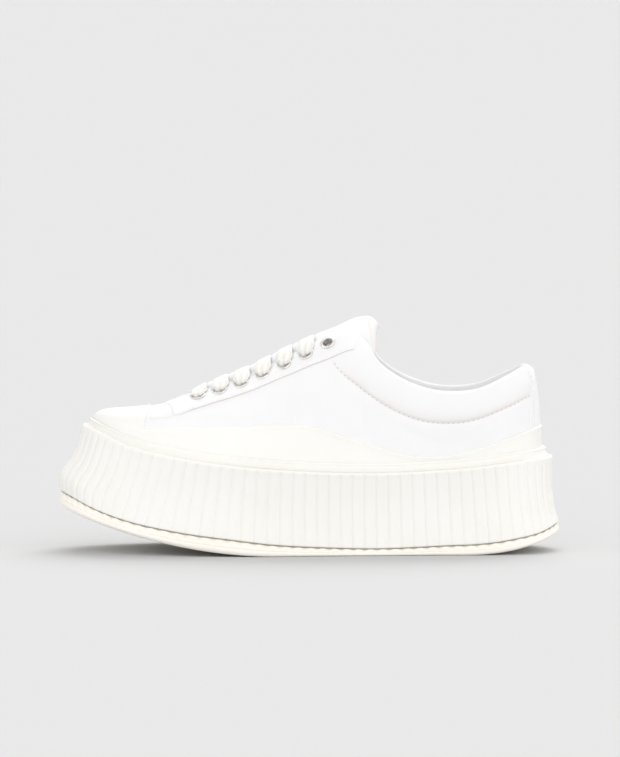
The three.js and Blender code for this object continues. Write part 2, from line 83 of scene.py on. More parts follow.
PLATFORM_ROWS = (
    (-136, 56.1, 5.3, 3.7, 0),
    (-120, 54.5, 6.3, 4.4, -3),
    (-88, 50.9, 5.8, 5, -2.4),
    (-40, 48.7, 4, 5, 0),
    (5, 50.2, 5.6, 5, 0.8),
    (45, 53.5, 8.4, 5, 4.4),
    (80, 58.3, 8, 5, 9.5),
    (105, 63.8, 7.1, 4.6, 11),
    (125, 71.4, 7.4, 4.2, 9.8),
    (140, 76.5, 8.8, 4, 9.6),
)
WALL_COLUMNS = ("depth", "flare", "lean", "side", "toe")
WALL_ROWS = (
    (0, 0, 0, 0, 0), (0.42, -0.06, 0.56, 0.46, 0.7), (0.76, 0.35, 1.06, 0.84, 1.9), (1, 1, 1, 1, 0),
)
TONGUE_COLUMNS = ("x", "crown", "half", "bend")
TONGUE_ROWS = (
    (-34.6, 138.7, 18.5, 0.06),
    (-27, 137.4, 18.5, 0.052),
    (-16, 132.4, 18.5, 0.038),
    (-2, 127.0, 19, 0.041),
    (15, 119.3, 19, 0.044),
    (34, 109.8, 19, 0.052),
    (52, 102.5, 18, 0.053),
    (66, 96.2, 17, 0.05),
    (76, 88.2, 15, 0.03),
    (84, 84, 12, 0.02),
    (92, 81.5, 10, 0.015),
)
# Lines on the upper: share of the way round from the heel to the toe, and share up the wall.
LINE_COLUMNS = ("round", "up")
COLLAR_LINE = (
    (0, 0.712), (0.034, 0.704), (0.055, 0.679), (0.072, 0.664), (0.091, 0.65), (0.109, 0.638),
    (0.126, 0.637), (0.152, 0.643), (0.172, 0.66), (0.193, 0.676), (0.215, 0.676),
    (0.2415, 0.645), (0.261, 0.662), (0.27, 0.69),
)
EYESTAY_LINE = (
    (0.241, 0.93), (0.247, 0.85), (0.2638, 0.752), (0.278, 0.703), (0.295, 0.703), (0.311, 0.71),
    (0.325, 0.706), (0.341, 0.702), (0.36, 0.698), (0.381, 0.68), (0.396, 0.636),
    (0.412, 0.571), (0.4175, 0.588), (0.4296, 0.717), (0.445, 0.85), (0.46, 0.935), (0.5, 0.962),
)
VAMP_LINE = (
    (0.396, 0.63), (0.412, 0.566), (0.4313, 0.516), (0.4375, 0.52), (0.445, 0.6), (0.46, 0.74),
    (0.48, 0.845), (0.5, 0.872),
)
GUARD_COLUMNS = ("x", "z")
GUARD_SIDE = (
    (-142, 75.4), (-132, 73.2), (-118, 68.6), (-100, 62.3), (-83, 58.3), (-68, 57.5), (-56, 59.1),
    (-36, 64.8), (-18, 70.8), (-4, 75.2), (8, 76.8), (40, 75.2), (69, 74.2), (97.6, 73.9),
)
CAP_COLUMNS = ("z", "x")
CAP_EDGE = ((70, 97.8), (73.9, 97.6), (78.4, 96.6), (82.4, 95.3), (85.8, 91), (92, 90))


class Side(Enum):
    """Which side of the foot a piece is on, as the sign of Y."""

    OUTER = 1
    INNER = -1


class Table:
    """Rows of numbers under named columns, read between the rows along the first column."""

    def __init__(self, columns: Sequence[str], rows: Sequence[Sequence[float]]) -> None:
        """Keep the rows, which must rise along their first column."""
        self.columns = list(columns)
        self.rows = np.array(rows, float)

    def at(self, key: str, where: Array | float) -> Array:
        """Read a column by a smooth curve through its rows.

        Args:
            key: Name of the column.
            where: Values of the first column.

        Returns:
            The column's values there.
        """
        xs, ys = self.rows[:, 0], self.rows[:, self.columns.index(key)]
        last = len(xs) - 1
        where = np.asarray(where, float)
        i = np.clip(np.searchsorted(xs, where) - 1, 0, last - 1)
        before, after = np.maximum(i - 1, 0), np.minimum(i + 2, last)
        span = xs[i + 1] - xs[i]
        s = np.clip((where - xs[i]) / span, 0, 1)
        start = (ys[i + 1] - ys[before]) / (xs[i + 1] - xs[before]) * span
        end = (ys[after] - ys[i]) / (xs[after] - xs[i]) * span
        s2, s3 = s**2, s**3
        near = (2 * s3 - 3 * s2 + 1) * ys[i] + (s3 - 2 * s2 + s) * start
        return near + (3 * s2 - 2 * s3) * ys[i + 1] + (s3 - s2) * end


def ease(value: Array | float, low: float, high: float) -> Array:
    """Rise smoothly from 0 at low to 1 at high."""
    share = np.clip((np.asarray(value, float) - low) / (high - low), 0, 1)
    return share * share * (3 - 2 * share)


def mix(low: Array | float, high: Array | float, share: Array | float) -> Array:
    """Blend two values by a share."""
    return low + (high - low) * share


def fold(share: Array) -> Array:
    """Share of the way round from the heel, counted to the toe on either side."""
    share = np.mod(share, 1.0)
    return np.minimum(share, 1 - share)


def even_shares(count: int) -> Array:
    """Even shares of the way round, as a column."""
    return (np.arange(count) / count)[:, None]


def run_along(places: Array) -> Array:
    """Distance covered along a row of places, from 0 at the first."""
    return np.concatenate([[0], np.cumsum(np.linalg.norm(np.diff(places, axis=0), axis=1))])


def ripple(points: Array, size: float, seed: int) -> Array:
    """Soft uneven waves through space, between about -1 and 1.

    Args:
        points: Places in millimetres.
        size: Length of a wave in millimetres.
        seed: Number of the pattern.

    Returns:
        The height of the waves at each place.
    """
    rng = np.random.default_rng(seed)
    total = np.zeros(points.shape[:-1])
    for _ in range(6):
        way = rng.normal(size=3)
        way /= np.linalg.norm(way) * size * rng.uniform(0.7, 1.5)
        total += np.sin(2 * math.pi * (points @ way) + rng.uniform(0, 2 * math.pi))
    return total / 3.2


def closed_curve(points: Array, where: Array, centripetal: bool = True) -> Array:
    """Read a closed Catmull-Rom curve.

    Args:
        points: Its points, in order.
        where: Parameters from 0 to 1.
        centripetal: Space the knots by the root of their distance.

    Returns:
        Places on the curve.
    """
    count = len(points)
    p = np.mod(np.asarray(where, float), 1.0) * count
    i = np.floor(p).astype(int)
    w = (p - i)[..., None]
    a, b, c, d = (points[(i + k) % count] for k in (-1, 0, 1, 2))
    if centripetal:
        ab, bc, cd = (
            np.sum((far - near) ** 2, axis=-1, keepdims=True) ** 0.25
            for near, far in ((a, b), (b, c), (c, d))
        )
        start = ((b - a) / ab - (c - a) / (ab + bc) + (c - b) / bc) * bc
        end = ((c - b) / bc - (d - b) / (bc + cd) + (d - c) / cd) * bc
    else:
        start, end = 0.5 * (c - a), 0.5 * (d - b)
    bend = -3 * b + 3 * c - 2 * start - end
    return b + start * w + bend * w**2 + (2 * b - 2 * c + start + end) * w**3


@dataclass
class Last:
    """The form that the shoe is built on: the wall of the upper and the plan of the sole.

    Attributes:
        length: Length of the upper at its foot, in millimetres like every size here.
        middle: Middle of that length along X.
        ball: Width of the upper at the ball.
        instep: Height of the upper's edge at its highest.
        gap: Clearance between pieces that meet.
        cup_depth: How deep the upper stands in the platform.
        toe_spring: Rise of the tread at the toe.
        heel_bevel: Rise of the tread at the heel.
        flat_front: Front end of the flat tread along X.
        flat_back: Back end of the flat tread along X.
        sole_end: Either end of the sole along X.
        rim: How far the platform's rim stands off the upper.
        rim_toe: Added to that at the toe.
    """

    length: float = 261.9
    middle: float = -4.45
    ball: float = 88.0
    instep: float = 130.6
    gap: float = 0.3
    cup_depth: float = 10.0
    toe_spring: float = 26.0
    heel_bevel: float = 11.2
    flat_front: float = 20.0
    flat_back: float = -90.0
    sole_end: float = 147.0
    rim: float = 8.4
    rim_toe: float = -1.2

    def __post_init__(self) -> None:
        """Lay the curves through the rows: out along the outer side, back along the inner."""
        table = dict(zip(LAST_COLUMNS, np.array(LAST_ROWS, float).T))
        none = np.zeros(len(LAST_ROWS))

        def loop(*columns: tuple[Array, Array]) -> Array:
            """Points of a closed curve, from each coordinate's outer and inner values."""
            outer = np.stack([column[0] for column in columns], 1)
            inner = np.stack([column[1] for column in columns], 1)
            return np.concatenate([outer, inner[1:-1][::-1]])

        def both(column: Array) -> tuple[Array, Array]:
            """The same values on both sides."""
            return column, column

        half = self.ball / 2
        self.foot_points = loop(
            both(self.middle + table["x"] * self.length),
            (table["out"] * half, -table["inn"] * half),
            both(none),
        )
        self.edge_points = loop(
            both(self.middle + table["top_x"] * self.length),
            (table["top_out"] * half, -table["top_inn"] * half),
            both(table["top_z"] * self.instep),
        )
        self.handle_points = loop(both(table["rise"]), both(table["lean"]), both(table["reach"]))
        self.drop_points = loop(both(table["drop"]))
        self.platform = Table(PLATFORM_COLUMNS, PLATFORM_ROWS)
        self.profile = Table(WALL_COLUMNS, WALL_ROWS)
        self.knots = np.linspace(0, 1, 1201)
        self.run = run_along(closed_curve(self.foot_points, self.knots))

    def station(self, share: Array | float) -> Array:
        """Curve parameter at a share of the way round the foot."""
        return np.interp(np.mod(share, 1.0) * self.run[-1], self.run, self.knots)

    def ledge(self, x: Array) -> Array:
        """Height of the platform's rim."""
        return self.platform.at("ledge", x)

    def tread(self, x: Array) -> Array:
        """Height of the tread over the floor."""
        toe = np.maximum(0, (x - self.flat_front) / (self.sole_end - self.flat_front))
        heel = np.maximum(0, (self.flat_back - x) / (self.sole_end + self.flat_back))
        return self.toe_spring * toe**1.85 + self.heel_bevel * heel**2.3

    def outward(self, points: Array, t: Array) -> Array:
        """Level direction away from the foot, square to one of the curves."""
        way = closed_curve(points, t - 0.001) - closed_curve(points, t + 0.001)
        out = np.stack([way[..., 1], -way[..., 0], np.zeros(way.shape[:-1])], -1)
        return out / np.linalg.norm(out, axis=-1, keepdims=True)

    def wall(self, t: Array, v: Array) -> Array:
        """Places on the wall of the upper.

        Args:
            t: Curve parameters round the foot.
            v: Shares up the wall, from 0 at its foot to 1 at its edge.

        Returns:
            Places in millimetres.
        """
        t, v = np.broadcast_arrays(np.asarray(t, float), np.asarray(v, float))
        foot = closed_curve(self.foot_points, t)
        edge = closed_curve(self.edge_points, t)
        handle = closed_curve(self.handle_points, t, False)
        drop = closed_curve(self.drop_points, t, False)[..., 0]
        foot[..., 2] = self.ledge(foot[..., 0]) - self.cup_depth + self.gap
        low = foot + self.outward(self.foot_points, t) * handle[..., 1:2]
        low[..., 2] += handle[..., 0]
        high = edge + self.outward(self.edge_points, t) * handle[..., 2:3]
        high[..., 2] -= drop
        v = v[..., None]
        w = 1 - v
        return w**3 * foot + 3 * w**2 * v * low + 3 * w * v**2 * high + v**3 * edge

    def surface(self, share: Array, v: Array, out: Array | float = 0.0) -> tuple[Array, Array]:
        """Places off the canvas, and the canvas's normals.

        Args:
            share: Shares of the way round the foot.
            v: Shares up the wall.
            out: Distance off the canvas, in millimetres.

        Returns:
            The places and the unit normals.
        """
        step = 0.002
        t = self.station(share)
        climb = self.wall(t, v + step) - self.wall(t, v - step)
        ahead = self.wall(t + step, v) - self.wall(t - step, v)
        normal = np.cross(climb, ahead)
        normal /= np.linalg.norm(normal, axis=-1, keepdims=True)
        return self.wall(t, v) + normal * np.asarray(out, float)[..., None], normal

    def first_share(self, share: Array, outside: Callable[[Array], Array]) -> Array:
        """Share up the wall at which each station leaves a region.

        Args:
            share: Shares of the way round the foot.
            outside: Says which places lie outside the region.

        Returns:
            The shares.
        """
        t = self.station(share)
        low, high = np.zeros(t.shape), np.ones(t.shape)
        for _ in range(26):
            middle = (low + high) / 2
            out = outside(self.wall(t, middle))
            high, low = np.where(out, middle, high), np.where(out, low, middle)
        return low

    def share_over(self, share: Array, over: Array | float) -> Array:
        """Share up the wall where it stands at a height over the ledge of its foot."""
        foot = closed_curve(self.foot_points, self.station(share))
        target = self.ledge(foot[..., 0]) + over
        return self.first_share(share, lambda place: place[..., 2] >= target)

    def rim_reach(self, x: Array) -> Array:
        """How far the platform's rim stands off the upper."""
        return self.rim + self.rim_toe * ease(x, 90, 126)

    def outline(self, share: Array, over: Array | float, out: Array | float) -> Array:
        """A ring beside the upper, at a height over the ledge and a level distance from it."""
        t = self.station(share)
        v = np.where(np.asarray(over) > -self.cup_depth, self.share_over(share, over), 0)
        place = self.wall(t, v) + self.outward(self.foot_points, t) * np.asarray(out)[..., None]
        place[..., 2] = self.ledge(place[..., 0]) + over
        return place

    def platform_wall(self, share: Array, depth: Array, inset: Array | float) -> Array:
        """Places on the ribbed wall.

        Args:
            share: Shares of the way round the foot.
            depth: Shares down from the rim to the foot of the wall.
            inset: Level distance inside the wall's face.

        Returns:
            Places in millimetres.
        """
        t = self.station(share)
        foot = closed_curve(self.foot_points, t)
        away = self.outward(self.foot_points, t)
        x = foot[..., 0]
        flare = self.platform.at("flare", x) * self.profile.at("flare", depth)
        flare = flare + self.profile.at("toe", depth) * ease(x, 100, 126)
        reach = self.rim_reach(x) - inset + flare
        rim = foot + away * self.rim_reach(x)[..., None]
        place = foot + away * reach[..., None]
        side, toe = self.profile.at("side", depth), self.profile.at("lean", depth)
        place[..., 0] += self.platform.at("lean", x) * mix(side, toe, ease(x, 85, 120))
        low = self.tread(place[..., 0]) + self.platform.at("strip", place[..., 0]) + self.gap
        place[..., 2] = mix(self.ledge(rim[..., 0]), low, depth)
        return place


# ---------------------------------------------------------------- meshes
@dataclass
class Cloth:
    """A grid of places that is wrapped into one piece.

    Attributes:
        name: Name of the piece.
        places: Columns by rows of places, in millimetres.
        weave: Columns by rows of flat places, in millimetres, for the pattern.
        around: Join the last column to the first.
        tube: Join the last row to the first.
        slots: Material number of each row.
        shade: Columns by rows of shares, kept as the attribute "shade".
    """

    name: str
    places: Array
    weave: Array
    around: bool = True
    tube: bool = True
    slots: Sequence[int] | None = None
    shade: Array | None = None

    def build(self) -> bpy.types.Object:
        """Wrap a flat grid over the places, close its seams and face it outwards.

        Returns:
            The new piece, in metres.
        """
        columns, rows = self.places.shape[:2]
        across = columns if self.around else columns - 1
        up = rows if self.tube else rows - 1
        shape = bmesh.new()
        bmesh.ops.create_grid(shape, x_segments=across, y_segments=up, size=1.0)
        mesh = bpy.data.meshes.new(self.name)
        shape.to_mesh(mesh)
        shape.free()
        flat = np.empty(len(mesh.vertices) * 3)
        mesh.vertices.foreach_get("co", flat)
        flat = flat.reshape(-1, 3)
        i = np.rint((flat[:, 0] + 1) / 2 * across).astype(int)
        j = np.rint((flat[:, 1] + 1) / 2 * up).astype(int)
        spots = self.places[i % columns, j % rows] * MM
        mesh.vertices.foreach_set("co", spots.ravel())
        self._lay_pattern(mesh, i, j)
        if self.shade is not None:
            layer = mesh.attributes.new("shade", "FLOAT", "POINT")
            layer.data.foreach_set("value", self.shade[i % columns, j % rows])
        if self.slots is not None:
            corners = np.empty(len(mesh.loops), int)
            mesh.loops.foreach_get("vertex_index", corners)
            lowest = j[corners].reshape(-1, 4).min(axis=1)
            numbers = np.asarray(self.slots, int)[lowest % len(self.slots)]
            mesh.polygons.foreach_set("material_index", numbers)
        return self._close(mesh)

    def _lay_pattern(self, mesh: bpy.types.Mesh, i: Array, j: Array) -> None:
        """Write the pattern's flat places as the UV map, in metres."""
        columns, rows = self.weave.shape[:2]
        corners = np.empty(len(mesh.loops), int)
        mesh.loops.foreach_get("vertex_index", corners)
        flat = self.weave[np.minimum(i, columns - 1), np.minimum(j, rows - 1)].copy()
        step = self.weave[-1, :, 0] - self.weave[-2, :, 0]
        flat[:, 0] += np.where(i >= columns, step[np.minimum(j, rows - 1)], 0)
        rise = self.weave[:, -1, 1] - self.weave[:, -2, 1]
        flat[:, 1] += np.where(j >= rows, rise[np.minimum(i, columns - 1)], 0)
        layer = mesh.uv_layers.new(name="weave")
        layer.data.foreach_set("uv", (flat[corners] * MM).ravel())

    def _close(self, mesh: bpy.types.Mesh) -> bpy.types.Object:
        """Merge the seams, cap open ends and turn the faces outwards."""
        shape = bmesh.new()
        shape.from_mesh(mesh)
        edge = [vertex for vertex in shape.verts if vertex.is_boundary]
        bmesh.ops.remove_doubles(shape, verts=edge, dist=1e-7)
        open_edges = [line for line in shape.edges if line.is_boundary]
        if open_edges:
            bmesh.ops.holes_fill(shape, edges=open_edges, sides=0)
        return finish_mesh(self.name, shape, mesh)


def finish_mesh(
    name: str, shape: bmesh.types.BMesh, mesh: bpy.types.Mesh | None = None
) -> bpy.types.Object:
    """Turn a closed shape's faces outwards and make it a smooth object.

    Args:
        name: Name of the piece.
        shape: The shape, in metres; it is freed.
        mesh: Mesh to write it to.

    Returns:
        The new object.
    """
    bmesh.ops.recalc_face_normals(shape, faces=shape.faces)
    if shape.calc_volume(signed=True) < 0:
        bmesh.ops.reverse_faces(shape, faces=shape.faces)
    for face in shape.faces:
        face.smooth = True
    mesh = mesh or bpy.data.meshes.new(name)
    shape.to_mesh(mesh)
    shape.free()
    piece = bpy.data.objects.new(name, mesh)
    bpy.context.collection.objects.link(piece)
    return piece


def flat_pattern(places: Array) -> Array:
    """Lay a grid of places flat by its own lengths.

    Args:
        places: Columns by rows of places.

    Returns:
        Columns by rows of flat places: along the columns, and up the rows.
    """
    along = np.linalg.norm(np.diff(places, axis=0), axis=2).mean(axis=1)
    up = np.linalg.norm(np.diff(places, axis=1), axis=2)
    u = np.concatenate([[0], np.cumsum(along)])
    v = np.concatenate([np.zeros((len(places), 1)), np.cumsum(up, axis=1)], axis=1)
    return np.stack(np.broadcast_arrays(u[:, None], v), -1)


def joined_copies(
    name: str, template: bmesh.types.BMesh, placements: Sequence[Matrix]
) -> bpy.types.Object:
    """Join many small copies of one shape into a piece.

    Args:
        name: Name of the piece.
        template: The small shape, in metres; it is freed.
        placements: Where each copy goes.

    Returns:
        The new piece.
    """
    small = bpy.data.meshes.new(name + "_one")
    template.to_mesh(small)
    template.free()
    shape = bmesh.new()
    for placement in placements:
        before = len(shape.verts)
        shape.from_mesh(small)
        shape.verts.ensure_lookup_table()
        bmesh.ops.transform(shape, matrix=placement, verts=shape.verts[before:])
    bpy.data.meshes.remove(small)
    return finish_mesh(name, shape)


def frame_at(place: Array, along: Array, up: Array) -> Matrix:
    """A placement whose X runs along a line and whose Z points off the surface.

    Args:
        place: Its origin, in millimetres.
        along: Direction of X.
        up: Direction near Z.

    Returns:
        The placement, in metres.
    """
    x = Vector(along).normalized()
    y = Vector(up).cross(x).normalized()
    z = x.cross(y)
    turn = Matrix((x, y, z)).transposed().to_4x4()
    return Matrix.Translation(Vector(place) * MM) @ turn


def cut_away(piece: bpy.types.Object, cutter: bpy.types.Object) -> None:
    """Cut one closed piece out of another for good.

    Args:
        piece: The piece that stays.
        cutter: The piece that is cut out.
    """
    tool = piece.modifiers.new("holes", "BOOLEAN")
    tool.object = cutter
    tool.solver = "EXACT"
    depsgraph = bpy.context.evaluated_depsgraph_get()
    made = bpy.data.meshes.new_from_object(piece.evaluated_get(depsgraph))
    piece.modifiers.clear()
    old = piece.data
    made.name = old.name + "_cut"
    piece.data = made
    bpy.data.meshes.remove(old)


# ---------------------------------------------------------------- finishes
class Nodes:
    """A material's node tree with short calls for the nodes that it needs."""

    def __init__(self, name: str) -> None:
        """Start an empty material."""
        self.material = bpy.data.materials.new(name)
        self.material.use_nodes = True
        self.tree = self.material.node_tree
        self.tree.nodes.clear()
        self.output = self.tree.nodes.new("ShaderNodeOutputMaterial")
        self.shader = self.tree.nodes.new("ShaderNodeBsdfPrincipled")
        self.tree.links.new(self.shader.outputs[0], self.output.inputs[0])

    def add(self, kind: str, **facts: object) -> bpy.types.Node:
        """Add a node and set its properties."""
        node = self.tree.nodes.new(kind)
        for key, value in facts.items():
            setattr(node, key, value)
        return node

    def feed(self, value: object, socket: bpy.types.NodeSocket) -> None:
        """Link a socket to another, or set its value."""
        if isinstance(value, bpy.types.NodeSocket):
            self.tree.links.new(value, socket)
        else:
            socket.default_value = value

    def math(self, operation: str, *values: object) -> bpy.types.NodeSocket:
        """A Math node of numbers and sockets."""
        node = self.add("ShaderNodeMath", operation=operation)
        for value, socket in zip(values, node.inputs):
            self.feed(value, socket)
        return node.outputs[0]

    def blend(self, share: object, low: Colour, high: Colour) -> bpy.types.NodeSocket:
        """A colour between two, by a share."""
        node = self.add("ShaderNodeMix", data_type="RGBA")
        self.feed(share, node.inputs["Factor"])
        self.feed((*low, 1) if isinstance(low, tuple) else low, node.inputs[6])
        self.feed((*high, 1) if isinstance(high, tuple) else high, node.inputs[7])
        return node.outputs[2]

    def noise(
        self, vector: bpy.types.NodeSocket, size: float, detail: float = 3.0
    ) -> bpy.types.NodeSocket:
        """Noise whose patches are about so many millimetres across."""
        node = self.add("ShaderNodeTexNoise")
        self.feed(vector, node.inputs["Vector"])
        node.inputs["Scale"].default_value = 1 / (size * MM)
        node.inputs["Detail"].default_value = detail
        return node.outputs["Fac"]

    def between(
        self, value: bpy.types.NodeSocket, low: float, high: float, to_low: float, to_high: float
    ) -> bpy.types.NodeSocket:
        """Map a value's range to another, held at its ends."""
        node = self.add("ShaderNodeMapRange", clamp=True)
        for item, socket in zip((value, low, high, to_low, to_high), node.inputs):
            self.feed(item, socket)
        return node.outputs[0]

    def bump(
        self, height: bpy.types.NodeSocket, depth: float, strength: float = 1.0,
        below: bpy.types.NodeSocket | None = None,
    ) -> bpy.types.NodeSocket:
        """A bump of a real depth in millimetres, over another."""
        node = self.add("ShaderNodeBump")
        node.inputs["Strength"].default_value = strength
        node.inputs["Distance"].default_value = depth * MM
        self.feed(height, node.inputs["Height"])
        if below is not None:
            self.feed(below, node.inputs["Normal"])
        return node.outputs[0]


def dress(piece: bpy.types.Object, *materials: bpy.types.Material) -> None:
    """Give a piece its materials in place of any others."""
    piece.data.materials.clear()
    for material in materials:
        piece.data.materials.append(material)


@dataclass(frozen=True)
class Textile:
    """Plain-woven or braided cloth.

    Attributes:
        name: Name of the finish.
        colour: Colour of the thread.
        shadow: Colour in the hollows and where the piece is marked "shade".
        thread: Distance between neighbouring threads, in millimetres.
        relief: Depth of the weave, in millimetres.
        fuzz: Strength of the soft sheen.
        slant: Turn of the weave, in degrees.
    """

    name: str
    colour: Colour
    shadow: Colour
    thread: float = 0.55
    relief: float = 0.09
    fuzz: float = 0.15
    slant: float = 0.0

    def make(self) -> bpy.types.Material:
        """Build the material: crossing threads, uneven yarn, and painted shade in the hollows and
        where the piece is marked "shade".
        """
        n = Nodes(self.name)
        flat = n.add("ShaderNodeUVMap", uv_map="weave").outputs[0]
        turn = n.add("ShaderNodeMapping")
        turn.inputs["Rotation"].default_value[2] = math.radians(self.slant)
        n.feed(flat, turn.inputs["Vector"])
        split = n.add("ShaderNodeSeparateXYZ")
        n.feed(turn.outputs[0], split.inputs[0])
        pitch = math.pi / (self.thread * MM)
        warp = n.math("SINE", n.math("MULTIPLY", split.outputs[0], pitch))
        weft = n.math("SINE", n.math("MULTIPLY", split.outputs[1], pitch))
        over = n.math("GREATER_THAN", n.math("MULTIPLY", warp, weft), 0.0)
        low = n.math("ABSOLUTE", warp)
        high = n.math("ABSOLUTE", weft)
        rise = n.math("ADD", n.math("MULTIPLY", over, low),
                      n.math("MULTIPLY", n.math("SUBTRACT", 1.0, over), high))
        solid = n.add("ShaderNodeTexCoord").outputs["Object"]
        slub = n.noise(solid, 1.3, 4)
        cloud = n.noise(solid, 26, 2)
        # Painted shade: the weave's hollows darken towards the shadow colour.
        hollow = n.between(rise, 0.0, 0.7, 0.07, 0.0)
        uneven = n.between(cloud, 0.35, 0.7, 0.0, 0.05)
        # The piece's "shade" attribute adds painted shade along seams, folds and under edges.
        shade = n.add("ShaderNodeAttribute", attribute_name="shade").outputs["Fac"]
        dark = n.math("ADD", n.math("ADD", hollow, uneven), shade)
        n.feed(n.blend(n.math("MINIMUM", dark, 1.0), self.colour, self.shadow),
               n.shader.inputs["Base Color"])
        n.feed(n.between(slub, 0.3, 0.7, 0.82, 0.95), n.shader.inputs["Roughness"])
        height = n.math("ADD", rise, n.math("MULTIPLY", slub, 0.6))
        n.feed(n.bump(height, self.relief), n.shader.inputs["Normal"])
        n.shader.inputs["Sheen Weight"].default_value = self.fuzz
        n.shader.inputs["Sheen Roughness"].default_value = 0.5
        n.shader.inputs["Specular IOR Level"].default_value = 0.2
        return n.material


@dataclass(frozen=True)
class Rubber:
    """Moulded rubber with a satin skin.

    Attributes:
        name: Name of the finish.
        colour: Main colour.
        worn_and_shade: Colour of its cloudy patches and dusty foot, and of the painted shade where
            the piece is marked "shade".
        rough: Middle roughness.
        grain: Size of the skin's grain, in millimetres.
        relief: Depth of the grain, in millimetres.
        dust: Height over the floor under which dust shows, in millimetres.
    """

    name: str
    colour: Colour
    worn_and_shade: Colour
    rough: float = 0.45
    grain: float = 0.5
    relief: float = 0.02
    dust: float = 0.0

    def make(self) -> bpy.types.Material:
        """Build the material: fine skin, cloudy colour, painted shade where the piece is marked
        "shade", and dust towards the floor.
        """
        n = Nodes(self.name)
        solid = n.add("ShaderNodeTexCoord").outputs["Object"]
        fine = n.noise(solid, self.grain, 4)
        flow = n.noise(solid, 9, 3)
        cloud = n.noise(solid, 34, 3)
        dark = n.between(cloud, 0.35, 0.7, 0.0, 0.3)
        # The "shade" attribute adds painted shade in grooves, under edges and along lines.
        shade = n.add("ShaderNodeAttribute", attribute_name="shade").outputs["Fac"]
        dark = n.math("ADD", dark, shade)
        if self.dust > 0:
            split = n.add("ShaderNodeSeparateXYZ")
            n.feed(solid, split.inputs[0])
            low = n.between(split.outputs[2], 0.0, self.dust * MM, 0.5, 0.0)
            speck = n.between(n.noise(solid, 3, 5), 0.4, 0.75, 0.2, 1.0)
            dark = n.math("ADD", dark, n.math("MULTIPLY", low, speck))
        n.feed(n.blend(n.math("MINIMUM", dark, 1.0), self.colour, self.worn_and_shade),
               n.shader.inputs["Base Color"])
        n.feed(n.between(flow, 0.3, 0.7, self.rough - 0.05, self.rough + 0.07),
               n.shader.inputs["Roughness"])
        skin = n.bump(fine, self.relief)
        n.feed(n.bump(flow, self.relief * 3, 1.0, skin), n.shader.inputs["Normal"])
        n.shader.inputs["Specular IOR Level"].default_value = 0.4
        return n.material


@dataclass(frozen=True)
class Metal:
    """Rolled and plated sheet metal.

    Attributes:
        name: Name of the finish.
        colour: Colour of the bright metal.
        tarnish: Colour of its dull patches.
        rough: Middle roughness.
    """

    name: str
    colour: Colour
    tarnish: Colour
    rough: float = 0.25

    def make(self) -> bpy.types.Material:
        """Build the material: bright metal with dull patches and fine scratches."""
        n = Nodes(self.name)
        solid = n.add("ShaderNodeTexCoord").outputs["Object"]
        patch = n.noise(solid, 2.2, 4)
        fine = n.noise(solid, 0.25, 3)
        dull = n.between(patch, 0.45, 0.7, 0.0, 1.0)
        n.feed(n.blend(dull, self.colour, self.tarnish), n.shader.inputs["Base Color"])
        n.feed(n.between(patch, 0.4, 0.7, self.rough - 0.07, self.rough + 0.15),
               n.shader.inputs["Roughness"])
        n.feed(n.bump(fine, 0.015), n.shader.inputs["Normal"])
        n.shader.inputs["Metallic"].default_value = 1.0
        return n.material


@dataclass(frozen=True)
class Finishes:
    """Every finish of the shoe."""

    canvas: Textile = Textile("white_canvas", (0.902, 0.902, 0.914), (0.80, 0.67, 0.58))
    facing: Textile = Textile("white_facing", (0.914, 0.914, 0.922), (0.62, 0.56, 0.53), slant=45)
    lining: Textile = Textile(
        "soft_lining", (0.985, 0.98, 0.978), (0.93, 0.90, 0.88), 0.4, 0.05, 0.9
    )
    cotton: Textile = Textile("cotton_lace", (0.885, 0.878, 0.85), (0.60, 0.54, 0.45), 0.7, 0.12)
    thread: Textile = Textile("sewing_thread", (0.885, 0.868, 0.85), (0.6, 0.55, 0.5), 0.3, 0.05)
    guard: Rubber = Rubber("satin_guard", (0.838, 0.828, 0.796), (0.812, 0.796, 0.755), 0.5)
    wall: Rubber = Rubber("satin_wall", (0.837, 0.825, 0.794), (0.79, 0.766, 0.705), 0.5, dust=20)
    tread: Rubber = Rubber("matt_tread", (0.925, 0.895, 0.84), (0.865, 0.81, 0.70), 0.6, 0.35, 0.04)
    nickel: Metal = Metal("plated_nickel", (0.86, 0.84, 0.82), (0.70, 0.65, 0.60), 0.45)
    # Dark marks of painted shade at the needle holes.
    hole_shade: Rubber = Rubber("needle_hole_shade", (0.62, 0.54, 0.50), (0.54, 0.46, 0.42), 0.9)


